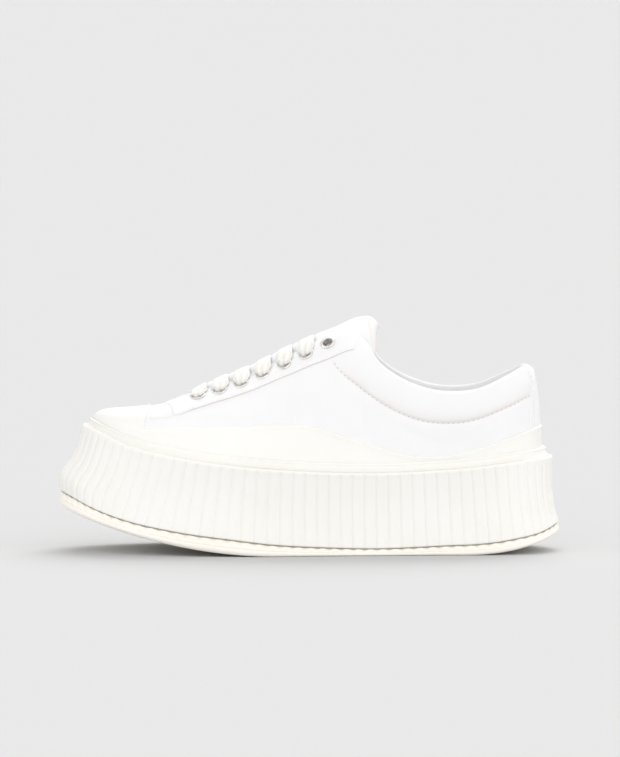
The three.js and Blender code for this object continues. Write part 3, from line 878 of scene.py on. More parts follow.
# ---------------------------------------------------------------- upper
@dataclass
class Upper:
    """The canvas shell with its padded collar and lining.

    Attributes:
        last: The form it is built on.
        columns: Stations round the foot.
        canvas: Thickness of the plain wall.
        pad: Thickness of the padded collar.
        edge: Thickness at the collar's own edge.
        sink: How far below the wall's edge the padded edge begins to turn in.
        puff: How far the padding swells off the wall.
        trough: Depth of the stitched line under the collar.
        flat_heel: Shares round between which the swelling begins beside the heel.
        pad_fades: Shares round between which the swelling ends towards the throat.
        seam_shade: Strength of the dark line along the collar's seam.
        roll_shade: Strength of the warm shade under the collar's roll.
        roll_height: Height over the seam in which that shade fades.
        collar_line: The collar's seam.
        creases: Soft creases: round, up, turn in degrees, length, width and depth.
    """

    last: Last
    columns: int = 640
    canvas: float = 2.0
    pad: float = 9.0
    edge: float = 4.8
    sink: float = 1.1
    puff: float = 1.8
    trough: float = 0.5
    flat_heel: tuple[float, float] = (0.02, 0.05)
    pad_fades: tuple[float, float] = (0.245, 0.272)
    # seam_shade: Strength of the painted shade line along the collar's seam.         roll_shade: Strength of the painted warm shade under the collar's roll.
    seam_shade: float = 0.1
    roll_shade: float = 0.2
    roll_height: float = 5.0
    collar_line: Table = field(default_factory=lambda: Table(LINE_COLUMNS, COLLAR_LINE))
    creases: Sequence[tuple[float, ...]] = (
        (0.060, 0.50, 78, 13, 3.4, 0.55),
        (0.082, 0.44, 70, 10, 3.0, -0.35),
        (0.150, 0.47, 12, 18, 3.6, 0.35),
        (0.215, 0.50, 52, 20, 4.2, 0.45),
        (0.255, 0.46, 60, 17, 4.5, -0.35),
        (0.300, 0.50, 20, 24, 5.0, 0.35),
        (0.345, 0.49, 8, 20, 4.5, -0.3),
        (0.385, 0.50, 12, 14, 3.6, 0.35),
    )

    def __post_init__(self) -> None:
        """Measure the wall once, for distances on it."""
        shares = np.linspace(0, 1, 361)
        wall = self.last.wall(self.last.station(shares)[:, None], np.linspace(0, 1, 33)[None])
        self.rise = np.linalg.norm(np.diff(wall, axis=1), axis=2).sum(axis=1)
        self.rise_at = shares

    def height(self, share: Array) -> Array:
        """Length of the wall from its foot to its edge, in millimetres."""
        return np.interp(np.mod(share, 1.0), self.rise_at, self.rise)

    def line(self, share: Array) -> Array:
        """Share up the wall of the line that the rows of the mesh follow."""
        near = fold(share)
        return mix(self.collar_line.at("up", near), 0.7, ease(near, 0.262, 0.285))

    def offset(self, share: Array, v: Array, place: Array) -> Array:
        """Distance of the cloth off the last's wall.

        Args:
            share: Shares of the way round the foot.
            v: Shares up the wall.
            place: Places on the bare wall.

        Returns:
            Distances in millimetres.
        """
        near, tall = fold(share), self.height(share)
        line = self.line(share)
        over = (v - line) * tall
        top = np.clip((v - line) / (1 - line), 0, 1)
        padded = (1 - ease(near, *self.pad_fades)) * ease(near, *self.flat_heel)
        swell = self.puff * np.sin(math.pi * top**0.6)
        wide = np.where(over > 0, 0.9, 1.7)
        seam = self.trough * np.exp(-((over / wide) ** 2))
        out = padded * (swell - seam)
        girth = self.last.run[-1]
        for around, up, turn, length, width, depth in self.creases:
            a = (near - around) * girth
            b = (v - up) * tall
            angle = math.radians(turn)
            ahead = a * math.cos(angle) + b * math.sin(angle)
            aside = b * math.cos(angle) - a * math.sin(angle)
            out = out - depth * np.exp(-((aside / width) ** 2) - (ahead / length) ** 4)
        return out + 0.14 * ripple(place, 40, 3) + 0.05 * ripple(place, 13, 5)

    def thickness(self, share: Array, v: Array) -> Array:
        """Thickness of the wall with its padding."""
        padded = 1 - ease(fold(share), 0.2, 0.3)
        swell = (self.pad - self.canvas) * ease(v, 0.58, 0.78)
        taper = (self.pad - self.edge) * ease(v, 0.82, 1)
        return self.canvas + padded * (swell - taper)

    def cloth(self, share: Array, v: Array, out: Array | float = 0.0) -> tuple[Array, Array]:
        """Places off the shaped cloth, and the wall's normals."""
        bare = self.last.wall(self.last.station(share), v)
        return self.last.surface(share, v, self.offset(share, v, bare) + out)

    def build(self) -> bpy.types.Object:
        """Build the hollow shell: canvas outside, lining inside.

        Returns:
            The shell, without its eyelet holes.
        """
        share = even_shares(self.columns)
        line = self.line(share)
        low = line * (1 - (1 - np.linspace(0, 1, 56)[None]) ** 1.5)
        padded = 1 - ease(fold(share), 0.2, 0.26)
        end = 1 - self.sink * padded / self.height(share)
        high = line + (end - line) * np.linspace(0, 1, 36)[None, 1:] ** 1.4
        v_out = np.concatenate([low, high], axis=1)
        wide = np.broadcast_to(share, v_out.shape)
        outside, _ = self.cloth(wide, v_out)
        top, normal = self.cloth(share, end)
        below, _ = self.cloth(share, end - 0.01)
        climb = top - below
        climb /= np.linalg.norm(climb, axis=-1, keepdims=True)
        thick = self.thickness(share, end)[..., None]
        turn = np.linspace(0, math.pi, 10)[None, 1:-1, None]
        plump = mix(0.36, 0.5, padded[..., None])
        edge = top - normal * thick / 2 * (1 - np.cos(turn)) + climb * thick * plump * np.sin(turn)
        v_in = end * np.linspace(1, 0, 30)[None] ** 1.2
        wide = np.broadcast_to(share, v_in.shape)
        inside, _ = self.last.surface(wide, v_in, -self.thickness(wide, v_in))
        places = np.concatenate([outside, edge, inside], axis=1)
        canvas_rows = outside.shape[1] + 3
        slots = [0] * canvas_rows + [1] * (places.shape[1] - canvas_rows)
        # Painted shade: a dark line along the collar's seam and a warm shade under its roll.
        above = (v_out - line) * self.height(share)
        stitched = 1 - ease(fold(share), 0.245, 0.265)
        roll = self.roll_shade * np.where(above > 0, np.exp(-above / self.roll_height), 0)
        seam = self.seam_shade * np.exp(-((above / 0.6) ** 2))
        dark = np.zeros(places.shape[:2])
        dark[:, : outside.shape[1]] = (seam + roll) * stitched
        return Cloth("canvas_upper", places, flat_pattern(places), slots=slots, shade=dark).build()


@dataclass
class Panel:
    """A thin piece sewn on the canvas between two lines.

    Attributes:
        name: Name of the piece.
        upper: The shell that it lies on.
        start: Share of the way round of its first column.
        end: Share of the way round of its last column.
        low: Gives the share up the wall of its lower edge, by the share round.
        high: Gives the same for its upper edge.
        thick: Its thickness.
        columns: Number of its columns.
        rows: Number of its inner rows.
        bead: How far its lower edge rolls up over its face.
        dark: Strength of the painted shade line under its lower edge.
        dark_top: Strength of the painted shade line at its upper edge.
        tapered: Fade the thickness at both ends.
        sunk: How deep its back lies in the shell.
    """

    name: str
    upper: Upper
    start: float
    end: float
    low: Callable[[Array], Array]
    high: Callable[[Array], Array]
    thick: float = 0.9
    columns: int = 420
    rows: int = 12
    bead: float = 0.0
    dark: float = 0.9
    dark_top: float = 0.0
    tapered: bool = True
    sunk: float = 0.45

    def build(self) -> bpy.types.Object:
        """Build the panel as a closed thin solid with turned edges.

        Returns:
            The panel.
        """
        around = self.end - self.start >= 1
        share = np.linspace(self.start, self.end, self.columns, endpoint=not around)[:, None]
        low, high = self.low(share), self.high(share)
        high = np.maximum(high, low + 0.004)
        wide = (high - low) * self.upper.height(share)
        steps = np.array([0.0, 0.06, 0.22, 0.5, 0.95, 1.6, 2.5])
        rises = np.array([-0.2, 0.5, 0.8, 0.94, 1.0, 1.0, 1.0])
        beads = np.array([0.0, 0.1, 0.6, 1.0, 0.9, 0.5, 0.1])
        squeeze = np.minimum(1, wide / 6.5)
        near = steps[None] * squeeze
        far = wide - steps[None, ::-1] * squeeze
        middle = mix(near[:, -1:], far[:, :1], np.linspace(0, 1, self.rows + 2)[None, 1:-1])
        across = np.concatenate([near, middle, far], axis=1)
        height = np.concatenate([rises, np.ones(self.rows), rises[::-1]])[None]
        roll = np.concatenate([beads, np.zeros(self.rows + len(steps))])[None]
        v = low + across / self.upper.height(share)
        fade = np.ones_like(share)
        if self.tapered and not around:
            run = (share - self.start) / (self.end - self.start)
            fade = ease(run, 0, 0.012) * (1 - ease(run, 0.988, 1))
        out = (height * self.thick + roll * self.bead) * fade + (fade - 1) * 0.2
        share_grid = np.broadcast_to(share, v.shape)
        face, _ = self.upper.cloth(share_grid, v, out)
        back, _ = self.upper.cloth(share_grid[:, ::4], v[:, ::4], -self.sunk)
        places = np.concatenate([face, back[:, ::-1]], axis=1)
        # Painted shade: a dark line under the lower edge and at the upper edge, fainter at the
        # tapered ends and towards the toe.
        dark = np.zeros(places.shape[:2])
        lines = np.array([1.0, 1.0, 0.75, 0.15])
        dark[:, :4] = lines * self.dark
        dark[:, face.shape[1] - 4: face.shape[1]] = lines[::-1] * self.dark_top
        dark *= ease(fade, 0.6, 1) * mix(1.0, 0.3, ease(fold(share), 0.395, 0.42))
        weave = flat_pattern(places)
        return Cloth(self.name, places, weave, around=around, shade=dark).build()


def facing_panel(upper: Upper) -> Panel:
    """The eyestay: from its seam to the edge of the throat, round the throat's front."""
    seam = Table(LINE_COLUMNS, EYESTAY_LINE)
    return Panel(
        "canvas_eyestay", upper, 0.2465, 0.7535,
        lambda share: seam.at("up", fold(share)), lambda share: np.full(share.shape, 0.998),
        columns=520, rows=22, dark=0.6,
    )


def vamp_panel(upper: Upper) -> Panel:
    """The front of the vamp: from the toe cap to the eyestay, with its own seam."""
    seam, stay = Table(LINE_COLUMNS, VAMP_LINE), Table(LINE_COLUMNS, EYESTAY_LINE)
    return Panel(
        "canvas_vamp_front", upper, 0.4, 0.6,
        lambda share: seam.at("up", fold(share)),
        lambda share: np.minimum(stay.at("up", fold(share)) + 0.03, 0.985),
        thick=0.4, columns=300, rows=18, dark=0.3,
    )


def heel_panel(upper: Upper) -> Panel:
    """The backstay: a strip up the back of the heel."""
    return Panel(
        "canvas_backstay", upper, -0.0305, 0.0305,
        lambda share: np.full(share.shape, 0.36), lambda share: np.full(share.shape, 0.985),
        thick=0.5, columns=90, rows=60, dark=0.3, dark_top=0.3,
    )


@dataclass
class Guard:
    """The rubber toe cap and mudguard with its wave-shaped rolled edge.

    Attributes:
        upper: The shell that it is bonded to.
        band_height: Height of the band that covers its foot.
        thick: Thickness of the rubber.
        bead: Rise of the rolled edge over the face.
        columns: Stations round the foot.
        sunk: How deep its back lies in the shell.
    """

    upper: Upper
    band_height: float = 5.3
    thick: float = 1.2
    bead: float = 0.35
    columns: int = 760
    sunk: float = 0.5

    def top(self, share: Array) -> Array:
        """Share up the wall of the guard's edge, with its corner rounded."""
        last = self.upper.last
        side, cap = Table(GUARD_COLUMNS, GUARD_SIDE), Table(CAP_COLUMNS, CAP_EDGE)

        def outside(place: Array) -> Array:
            """Say which places lie above the side line and behind the cap's edge."""
            over = place[..., 2] > side.at("z", place[..., 0])
            return over & (place[..., 0] < cap.at("x", place[..., 2]))

        raw = last.first_share(share[:, 0], outside)
        weights = np.array([1, 3, 6, 7, 6, 3, 1], float)
        weights /= weights.sum()
        smooth = sum(w * np.roll(raw, k - 3) for k, w in enumerate(weights))
        return smooth[:, None]

    def foot(self, share: Array) -> Array:
        """Share up the wall of the guard's lower edge, behind the band."""
        return self.upper.last.share_over(share[:, 0], self.band_height - 2.5)[:, None]

    def build(self) -> bpy.types.Object:
        """Build the guard as one closed ring of rubber.

        Returns:
            The guard.
        """
        share = even_shares(self.columns)
        foot, top = self.foot(share), self.top(share)
        tall = self.upper.height(share)
        wide = (top - foot) * tall
        steps = np.array([0.0, 0.05, 0.2, 0.45, 0.8, 1.3, 2.0, 3.0, 4.2])
        rises = np.array([-0.3, 0.45, 0.85, 1.08, 1.2, 1.2, 1.2, 1.2, 1.2])
        beads = np.array([0.0, 0.3, 0.75, 1.0, 1.0, 0.85, 0.5, 0.15, 0.0])
        squeeze = np.minimum(1, wide / 6)
        far = wide - steps[None, ::-1] * squeeze
        middle = mix(0, far[:, :1], np.linspace(0, 1, 22)[None, :-1])
        across = np.concatenate([middle, far], axis=1)
        bare = self.upper.last.wall(self.upper.last.station(share), top)
        cap = ease(bare[..., 0], 60, 98)
        edge = (rises * self.thick / 1.2)[::-1][None]
        edge = edge * mix(1.0, 0.85, cap) + (beads[::-1] * self.bead)[None] * mix(1.0, 0.35, cap)
        plain = np.full(middle.shape, self.thick)
        height = np.concatenate([plain, edge], axis=1)
        v = foot + across / tall
        grid = np.broadcast_to(share, v.shape)
        face, _ = self.upper.last.surface(grid, v, height + 0.1)
        back, _ = self.upper.last.surface(grid[:, ::3], v[:, ::3], -self.sunk)
        places = np.concatenate([face, back[:, ::-1]], axis=1)
        # Painted shade under the rolled top edge, weaker on the toe cap.
        dark = np.zeros(places.shape[:2])
        dark[:, face.shape[1] - 2: face.shape[1]] = mix(0.7, 0.3, cap)
        return Cloth("rubber_toe_and_mudguard", places, flat_pattern(places), shade=dark).build()


@dataclass
class Seams:
    """Rows of stitches, with dark marks of painted shade at their needle holes.

    Attributes:
        upper: The shell that they run on.
        pitch: Distance from one needle hole to the next.
        thread: Radius of the thread.
        hole: Half sizes of the painted shade mark at a needle hole along the seam, across it and
            off the cloth.
    """

    upper: Upper
    pitch: float = 3.0
    thread: float = 0.3
    hole: tuple[float, float, float] = (0.46, 0.38, 0.2)

    def run(
        self, shares: Array, ups: Array, out: float, spread: float = 0.0
    ) -> list[tuple[Array, Array, Array]]:
        """Even steps along a line on the cloth.

        Args:
            shares: Shares of the way round the foot, along the line.
            ups: Shares up the wall, along the line.
            out: Distance off the cloth.
            spread: Share of the pitch by which the steps start late.

        Returns:
            For each step its place, its direction and the surface's normal.
        """
        places, normals = self.upper.cloth(shares, ups, out)
        run = run_along(places)
        stops = np.arange(self.pitch * spread, run[-1], self.pitch)
        found = []
        for stop in stops:
            here, ahead = (
                np.array([np.interp(s, run, places[:, k]) for k in range(3)])
                for s in (stop, min(stop + 0.5, run[-1]))
            )
            up = np.array([np.interp(stop, run, normals[:, k]) for k in range(3)])
            way = ahead - here if stop + 0.1 < run[-1] else places[-1] - places[-2]
            found.append((here, way, up))
        return found

    def lines(self) -> list[tuple[Array, Array, float, bool]]:
        """Every stitched line: shares round and up, height over the cloth, and whether its needle
        holes get painted shade marks.
        """
        collar, stay = Table(LINE_COLUMNS, COLLAR_LINE), Table(LINE_COLUMNS, EYESTAY_LINE)
        found = []
        for side in Side:
            sign = 0 if side is Side.OUTER else 1
            near = np.linspace(0.033, 0.27, 400)
            found.append((np.abs(sign - near), collar.at("up", near), 0.12, True))
            near = np.linspace(0.258, 0.409, 300)
            above = 2.0 / self.upper.height(near)
            found.append((np.abs(sign - near), stay.at("up", near) + above, 0.86, False))
            up = np.linspace(0.45, 0.95, 120)
            found.append((np.full(120, abs(sign - 0.0252)), up, 0.6, False))
        return found

    def build(self) -> tuple[bpy.types.Object, bpy.types.Object]:
        """Build the threads and the painted shade marks at the needle holes.

        Returns:
            The joined threads and the joined shade marks.
        """
        stitches, holes = [], []
        for shares, ups, out, holed in self.lines():
            for place, way, up in self.run(shares, ups, out, 0.5):
                stitches.append(frame_at(place, way, up))
            if holed:
                for place, way, up in self.run(shares, ups, out, 0.0):
                    holes.append(frame_at(place, way, up))
        stitch = bmesh.new()
        bmesh.ops.create_uvsphere(stitch, u_segments=8, v_segments=6, radius=MM)
        size = Vector((self.pitch * 0.4, self.thread, self.thread))
        turn = Matrix.Rotation(math.pi / 2, 4, "Y")
        bmesh.ops.transform(stitch, matrix=turn, verts=stitch.verts)
        bmesh.ops.scale(stitch, vec=size, verts=stitch.verts)
        hole = bmesh.new()
        bmesh.ops.create_uvsphere(hole, u_segments=8, v_segments=4, radius=MM)
        bmesh.ops.scale(hole, vec=Vector(self.hole), verts=hole.verts)
        return (
            joined_copies("seam_threads", stitch, stitches),
            joined_copies("collar_needle_holes", hole, holes),
        )


# ---------------------------------------------------------------- sole
@dataclass
class Platform:
    """The band, the ribbed midsole, the outsole and the insole.

    Attributes:
        last: The form that they follow.
        ribs: Number of ribs round the wall, in even steps along its rim.
        rib_start: Share of a rib between the heel and the first groove.
        rib_depth: Depth of the grooves between them.
        rim_round: Radius of the rim.
        band_height: Height of the smooth band.
        band_foot: How far the band's foot stands off the upper.
        band_top: How far its top stands off the upper.
        band_toe: Added to that at the toe.
        foot: Inset of the wall's foot behind its lower edge.
        groove: Height of the open groove over the tread strip.
        wave: Distance from one groove of the tread to the next.
        cut: Depth of the tread's grooves.
        stops: Places across one rib, from the middle of a groove.
    """

    last: Last
    ribs: int = 93
    rib_start: float = 0.96
    rib_depth: float = 0.62
    rim_round: float = 0.9
    band_height: float = 5.3
    band_foot: float = 6.0
    band_top: float = 3.3
    band_toe: float = -1.3
    foot: float = 6.0
    groove: float = 0.6
    wave: float = 8.5
    cut: float = 1.3
    stops: Sequence[float] = (
        0, 0.03, 0.07, 0.13, 0.22, 0.35, 0.5, 0.65, 0.78, 0.87, 0.93, 0.97,
    )

    def __post_init__(self) -> None:
        """Lay out the stations: each rib's places, in turn."""
        stops = np.array(self.stops)
        phases = np.arange(self.ribs)[:, None] + self.rib_start + stops[None]
        even = np.mod((phases / self.ribs).ravel(), 1.0)
        shares = np.linspace(0, 1, 2401)
        rim = self.last.platform_wall(shares, np.zeros_like(shares), 0.0)
        run = run_along(rim)
        self.share = np.interp(even, run / run[-1], shares)[:, None]
        edge = 1 - 2 * np.minimum(stops, 1 - stops)
        self.crown = np.tile(1 - edge**4, self.ribs)[:, None]
        self.bump = np.tile(1 - edge**2, self.ribs)[:, None]

    def spine(self, ring: Array) -> Array:
        """A middle line under a ring, stepped so that its two sides meet."""
        x = np.clip(np.rint(ring[..., 0] / 6) * 6, -96, 90)
        return np.stack([x, np.zeros_like(x), ring[..., 2]], -1)

    def wall_height(self, share: Array) -> Array:
        """Height of the ribbed wall at each station."""
        top = self.last.platform_wall(share, np.zeros_like(share), 0.0)
        low = self.last.platform_wall(share, np.ones_like(share), 0.0)
        return top[..., 2] - low[..., 2]

    def ledge_ring(self, share: Array, over: float, out: float) -> Array:
        """One ring beside the upper, as a column of places."""
        return self.last.outline(share[:, 0], over, out)[:, None]

    def midsole(self) -> bpy.types.Object:
        """Build the platform: its cup, ledge, rounded rim and ribbed wall.

        Returns:
            The midsole.
        """
        share = self.share
        tall = self.wall_height(share)
        radius = self.rim_round
        turn = np.linspace(0, math.pi / 2, 5)[None]
        each = np.ones_like(tall)
        near = each * np.array([1.3, 1.8, 2.4, 3.2, 4.4])
        middle = mix(6.4, tall - 2.6, np.linspace(0, 1, 17)[None])
        down = np.concatenate([near, middle], axis=1)
        end = tall - 1 + np.sin(turn)
        rim_down, rim_inset = radius * (1 - np.cos(turn)), radius * (1 - np.sin(turn))
        all_down = np.concatenate([each * rim_down, down, end], axis=1)
        inset = np.concatenate(
            [each * rim_inset, np.zeros_like(down), each * (1 - np.cos(turn))], axis=1)
        groove = self.rib_depth * (1 - self.crown) * ease(all_down, 0.7, 3.6)
        swell = 0.25 * self.crown * ease(all_down, 0.5, 1.6) * (1 - ease(all_down, 1.8, 5))
        shares = np.broadcast_to(share, all_down.shape)
        wall = self.last.platform_wall(shares, all_down / tall, inset + groove - swell)
        bottom = self.last.platform_wall(share, np.ones_like(share), self.foot)
        cup = self.ledge_ring(share, -self.last.cup_depth, 0.6)
        cup_spine = self.spine(cup)
        cup_spine[..., 2] = self.last.ledge(cup_spine[..., 0]) - self.last.cup_depth
        low_spine = self.spine(bottom)
        low = self.last.tread(low_spine[..., 0])
        strip = self.last.platform.at("strip", low_spine[..., 0])
        low_spine[..., 2] = low + strip + self.last.gap
        inner = self.ledge_ring(share, 0.0, 0.6)
        ledge = self.ledge_ring(share, 0.0, 5.0)
        places = np.concatenate([cup_spine, cup, inner, ledge, wall, bottom, low_spine], axis=1)
        # Painted shade: in the grooves between the ribs, and fully dark under the wall's foot.
        dark = np.zeros(places.shape[:2])
        dark[:, 4: 4 + wall.shape[1]] = 0.25 * (1 - self.crown) ** 3 * ease(all_down, 0.7, 4)
        dark[:, -2:] = 1
        weave = flat_pattern(places)
        return Cloth("ribbed_platform", places, weave, tube=False, shade=dark).build()

    def outsole(self) -> bpy.types.Object:
        """Build the outsole: groove, scalloped strip and wavy tread.

        Returns:
            The outsole.
        """
        share = self.share
        base = self.last.platform_wall(share, np.ones_like(share), 0.0)
        strip = self.last.platform.at("strip", base[..., 0])
        gap = np.minimum(self.groove, 0.16 * strip)
        body = strip - gap
        bump = self.bump
        # Inset from the wall's foot, share of the strip's body, rise with the bumps, inset between.
        profile = (
            (3.0, None, 0.0, 0.0), (2.8, 1.0, 0.0, 0.0), (1.4, 1.0, 0.4, 0.0),
            (0.7, 0.97, 1.2, 0.6), (0.45, 0.86, 1.0, 1.1), (0.35, 0.72, 0.0, 0.7),
            (0.3, 0.60, 0.0, 0.2), (0.3, 0.55, 0.0, 0.0), (0.5, 0.51, 0.0, 0.0),
            (0.2, 0.46, 0.0, 0.0), (0.1, 0.40, 0.0, 0.0), (0.0, 0.26, 0.0, 0.0),
            (0.4, 0.12, 0.0, 0.0), (1.0, 0.035, 0.0, 0.0), (2.1, 0.0, 0.0, 0.0),
        )
        rings = []
        for inset, level, rise, notch in profile:
            place = self.last.platform_wall(
                share, np.ones_like(share), inset + notch * (1 - bump))
            floor = self.last.tread(place[..., 0])
            if level is None:
                place[..., 2] = floor + strip - 0.05
            else:
                place[..., 2] = floor + body * level + rise * (bump - 0.4)
            rings.append(place)
        top_spine = self.spine(rings[0])
        x = top_spine[..., 0]
        top_spine[..., 2] = self.last.tread(x) + self.last.platform.at("strip", x)
        under = self._tread(rings[-1])
        # Painted shade: dark at the hidden top and deep in the groove, fading down its lip, and a
        # light line in the fine groove across the strip.
        dark = [1.0, 1.0, 0.9, 0.5, 0.2, 0.0] + [0.0] * 2 + [0.35] + [0.0] * 6
        places = np.concatenate([top_spine, *rings, under], axis=1)
        shade = np.zeros(places.shape[:2])
        shade[:, : len(dark) + 1] = np.array([1.0] + dark)[None]
        return Cloth("tread_outsole", places, flat_pattern(places), tube=False, shade=shade).build()

    def _tread(self, ring: Array) -> Array:
        """Rows from the outsole's edge to its middle, cut by wavy grooves.

        Args:
            ring: The edge, as one column of places.

        Returns:
            The rows inside it.
        """
        spine = self.spine(ring)
        share = np.linspace(0, 1, 36)[None, 1:, None]
        places = mix(ring, spine, share)
        x, y = places[..., 0], places[..., 1]
        wave = x + 2.6 * np.sin(y / 5.5)
        cut = np.clip(np.cos(2 * math.pi * wave / self.wave) * 2.2 - 0.9, 0, 1)
        inner = ease(share[..., 0], 0.1, 0.16) * (1 - ease(share[..., 0], 0.97, 1))
        arch = 1 - 0.6 * ease(-np.abs(x + 28), -22, -12)
        places[..., 2] = self.last.tread(x) + self.cut * cut * inner * arch
        return places

    def band(self) -> bpy.types.Object:
        """Build the smooth band round the foot of the upper.

        Returns:
            The band.
        """
        count = 720
        share = even_shares(count)
        foot = closed_curve(self.last.foot_points, self.last.station(share[:, 0]))
        toe = ease(foot[:, 0], 90, 126)
        top = self.band_top + self.band_toe * toe
        height, radius = self.band_height, 1.1
        rings = [self.last.outline(share[:, 0], 0.02, self.band_foot + self.last.rim_toe * toe)]
        for over, out in ((0.4, 2.1), (1.1, 1.45), (1.9, 1.0), (2.7, 0.7), (3.3, 0.5)):
            rings.append(self.last.outline(share[:, 0], over, top + out))
        for angle in np.linspace(-0.6, math.pi / 2, 8):
            over = height - radius + radius * math.sin(angle)
            out = top + 0.6 - radius * (1 - math.cos(angle))
            rings.append(self.last.outline(share[:, 0], over, out))
        rings.append(self.last.outline(share[:, 0], height - 0.05, top * 0.5 + 0.6))
        rings.append(self.last.outline(share[:, 0], height - 0.6, np.full(count, 0.6)))
        rings.append(self.last.outline(share[:, 0], 0.05, np.full(count, 0.6)))
        places = np.stack(rings, axis=1)
        # Painted shade on the band's lower face, darkest at its foot.
        dark = np.zeros(places.shape[:2])
        dark[:, :7] = np.array([0.5, 0.5, 0.45, 0.4, 0.3, 0.2, 0.1])
        return Cloth("smooth_band", places, flat_pattern(places), shade=dark).build()

    def insole(self) -> bpy.types.Object:
        """Build the footbed with its raised edge.

        Returns:
            The insole.
        """
        share = even_shares(360)
        inside, depth = -2.9, self.last.cup_depth
        ring = self.ledge_ring(share, -depth, inside)
        rows = []
        edge = ((0.0, 0.3), (0.0, 3.4), (0.25, 4.4), (0.9, 5.0), (2.2, 5.1), (4.5, 4.6))
        for inset, over in edge:
            row = self.ledge_ring(share, -depth, inside - inset)
            row[..., 2] += over
            rows.append(row)
        spine = self.spine(ring)
        spine[..., 2] = self.last.ledge(spine[..., 0]) - depth
        inner = mix(rows[-1], spine + np.array([0, 0, 3.6]), np.linspace(0, 1, 24)[None, 1:, None])
        level = self.last.ledge(inner[..., 0]) - depth
        dish = np.linspace(0, 1, 24)[None, 1:]
        inner[..., 2] = level + mix(4.6, 3.6, ease(dish, 0, 0.5))
        low_spine = spine + np.array([0, 0, 0.3])
        places = np.concatenate([low_spine, *rows, inner], axis=1)
        flat = places[..., :2].copy()
        return Cloth("cloth_insole", places, flat, tube=False).build()


# ---------------------------------------------------------------- tongue, eyelets and lace
@dataclass
class Tongue:
    """The padded tongue under the throat, with its thick rounded end.

    Attributes:
        thick: Thickness of the padding along the throat.
        lip: Thickness of the padding at its end.
        front: Its free front end along X.
        back: Its rounded back end along X, at its middle.
        sweep: How much further back its sides end.
        dip: How deep the lace presses into it.
        lining: Where the painted warm shade over its rounded end begins at its top, along X.
        rows: Places along it.
        around: Places round its section.
    """

    thick: float = 4.6
    lip: float = 9.4
    front: float = 91.0
    back: float = -37.4
    sweep: float = 1.4
    dip: float = 1.0
    lining: float = -34.4
    rows: int = 230
    around: int = 128
    table: Table = field(default_factory=lambda: Table(TONGUE_COLUMNS, TONGUE_ROWS))

    def crown(self, x: Array | float) -> Array:
        """Height of the tongue's ridge."""
        return self.table.at("crown", x)

    def build(self, bars: Sequence[float]) -> bpy.types.Object:
        """Build the padded form with its edge seam and rounded end.

        Args:
            bars: Places of the lace's bars along X.

        Returns:
            The tongue.
        """
        turn = np.linspace(0, 2 * math.pi, self.around, endpoint=False)[None]
        side = np.sign(np.cos(turn)) * np.abs(np.cos(turn)) ** 0.8
        face = np.abs(np.sin(turn)) ** 0.75 * np.sign(np.sin(turn))
        run = np.linspace(0, 1, self.rows)[:, None]
        run = mix(run, 1 - (1 - run) ** 2.2, 0.65)
        end = self.back - self.sweep * np.abs(side) ** 2
        x = mix(self.front, end, run)
        half, bend = self.table.at("half", x), self.table.at("bend", x)
        slope = (self.crown(x + 1) - self.crown(x - 1)) / 2
        slope = np.minimum(slope, -0.72 * ease(-x, 20, 33) * (1 - 0.5 * side**2))
        reach = mix(3.2, 1.3, side**2)
        left = np.clip((x - end) / reach, 0, 1)
        tip = np.sqrt(np.clip(1 - (1 - left) ** 2, 0, 1))
        start = ease(run, 0, 0.03)
        pad = mix(self.thick, self.lip, ease(-x, 17, 33) * (1 - 0.62 * np.abs(side) ** 1.5))
        y = side * half
        normal = np.stack([-slope, 2 * bend * y, np.ones_like(y)], -1)
        normal /= np.linalg.norm(normal, axis=-1, keepdims=True)
        centre = np.stack([x, y, self.crown(x) - bend * y**2], -1)
        seam = np.exp(-(((1 - np.abs(side)) * half - 3.4) / 0.7) ** 2)
        seam = seam * ease(x - end, 2.5, 5)
        press = sum(np.exp(-(((x - bar) / 5.0) ** 4)) for bar in bars)
        top = np.where(face > 0, 0.35 * seam + self.dip * press, 0)
        puff = pad / 2 * face * tip * start - top * tip
        places = centre + normal * (puff - pad / 2)[..., None]
        # Painted warm shade over the rounded end, darker along the line where it begins.
        past = self.lining - (self.crown(self.lining) - places[..., 2]) * 0.18 - places[..., 0]
        dark = 0.2 * ease(past, -0.2, 0.5) + 0.3 * np.exp(-((past / 0.4) ** 2))
        weave = flat_pattern(places)
        return Cloth("padded_tongue", places, weave, around=False, shade=dark).build()


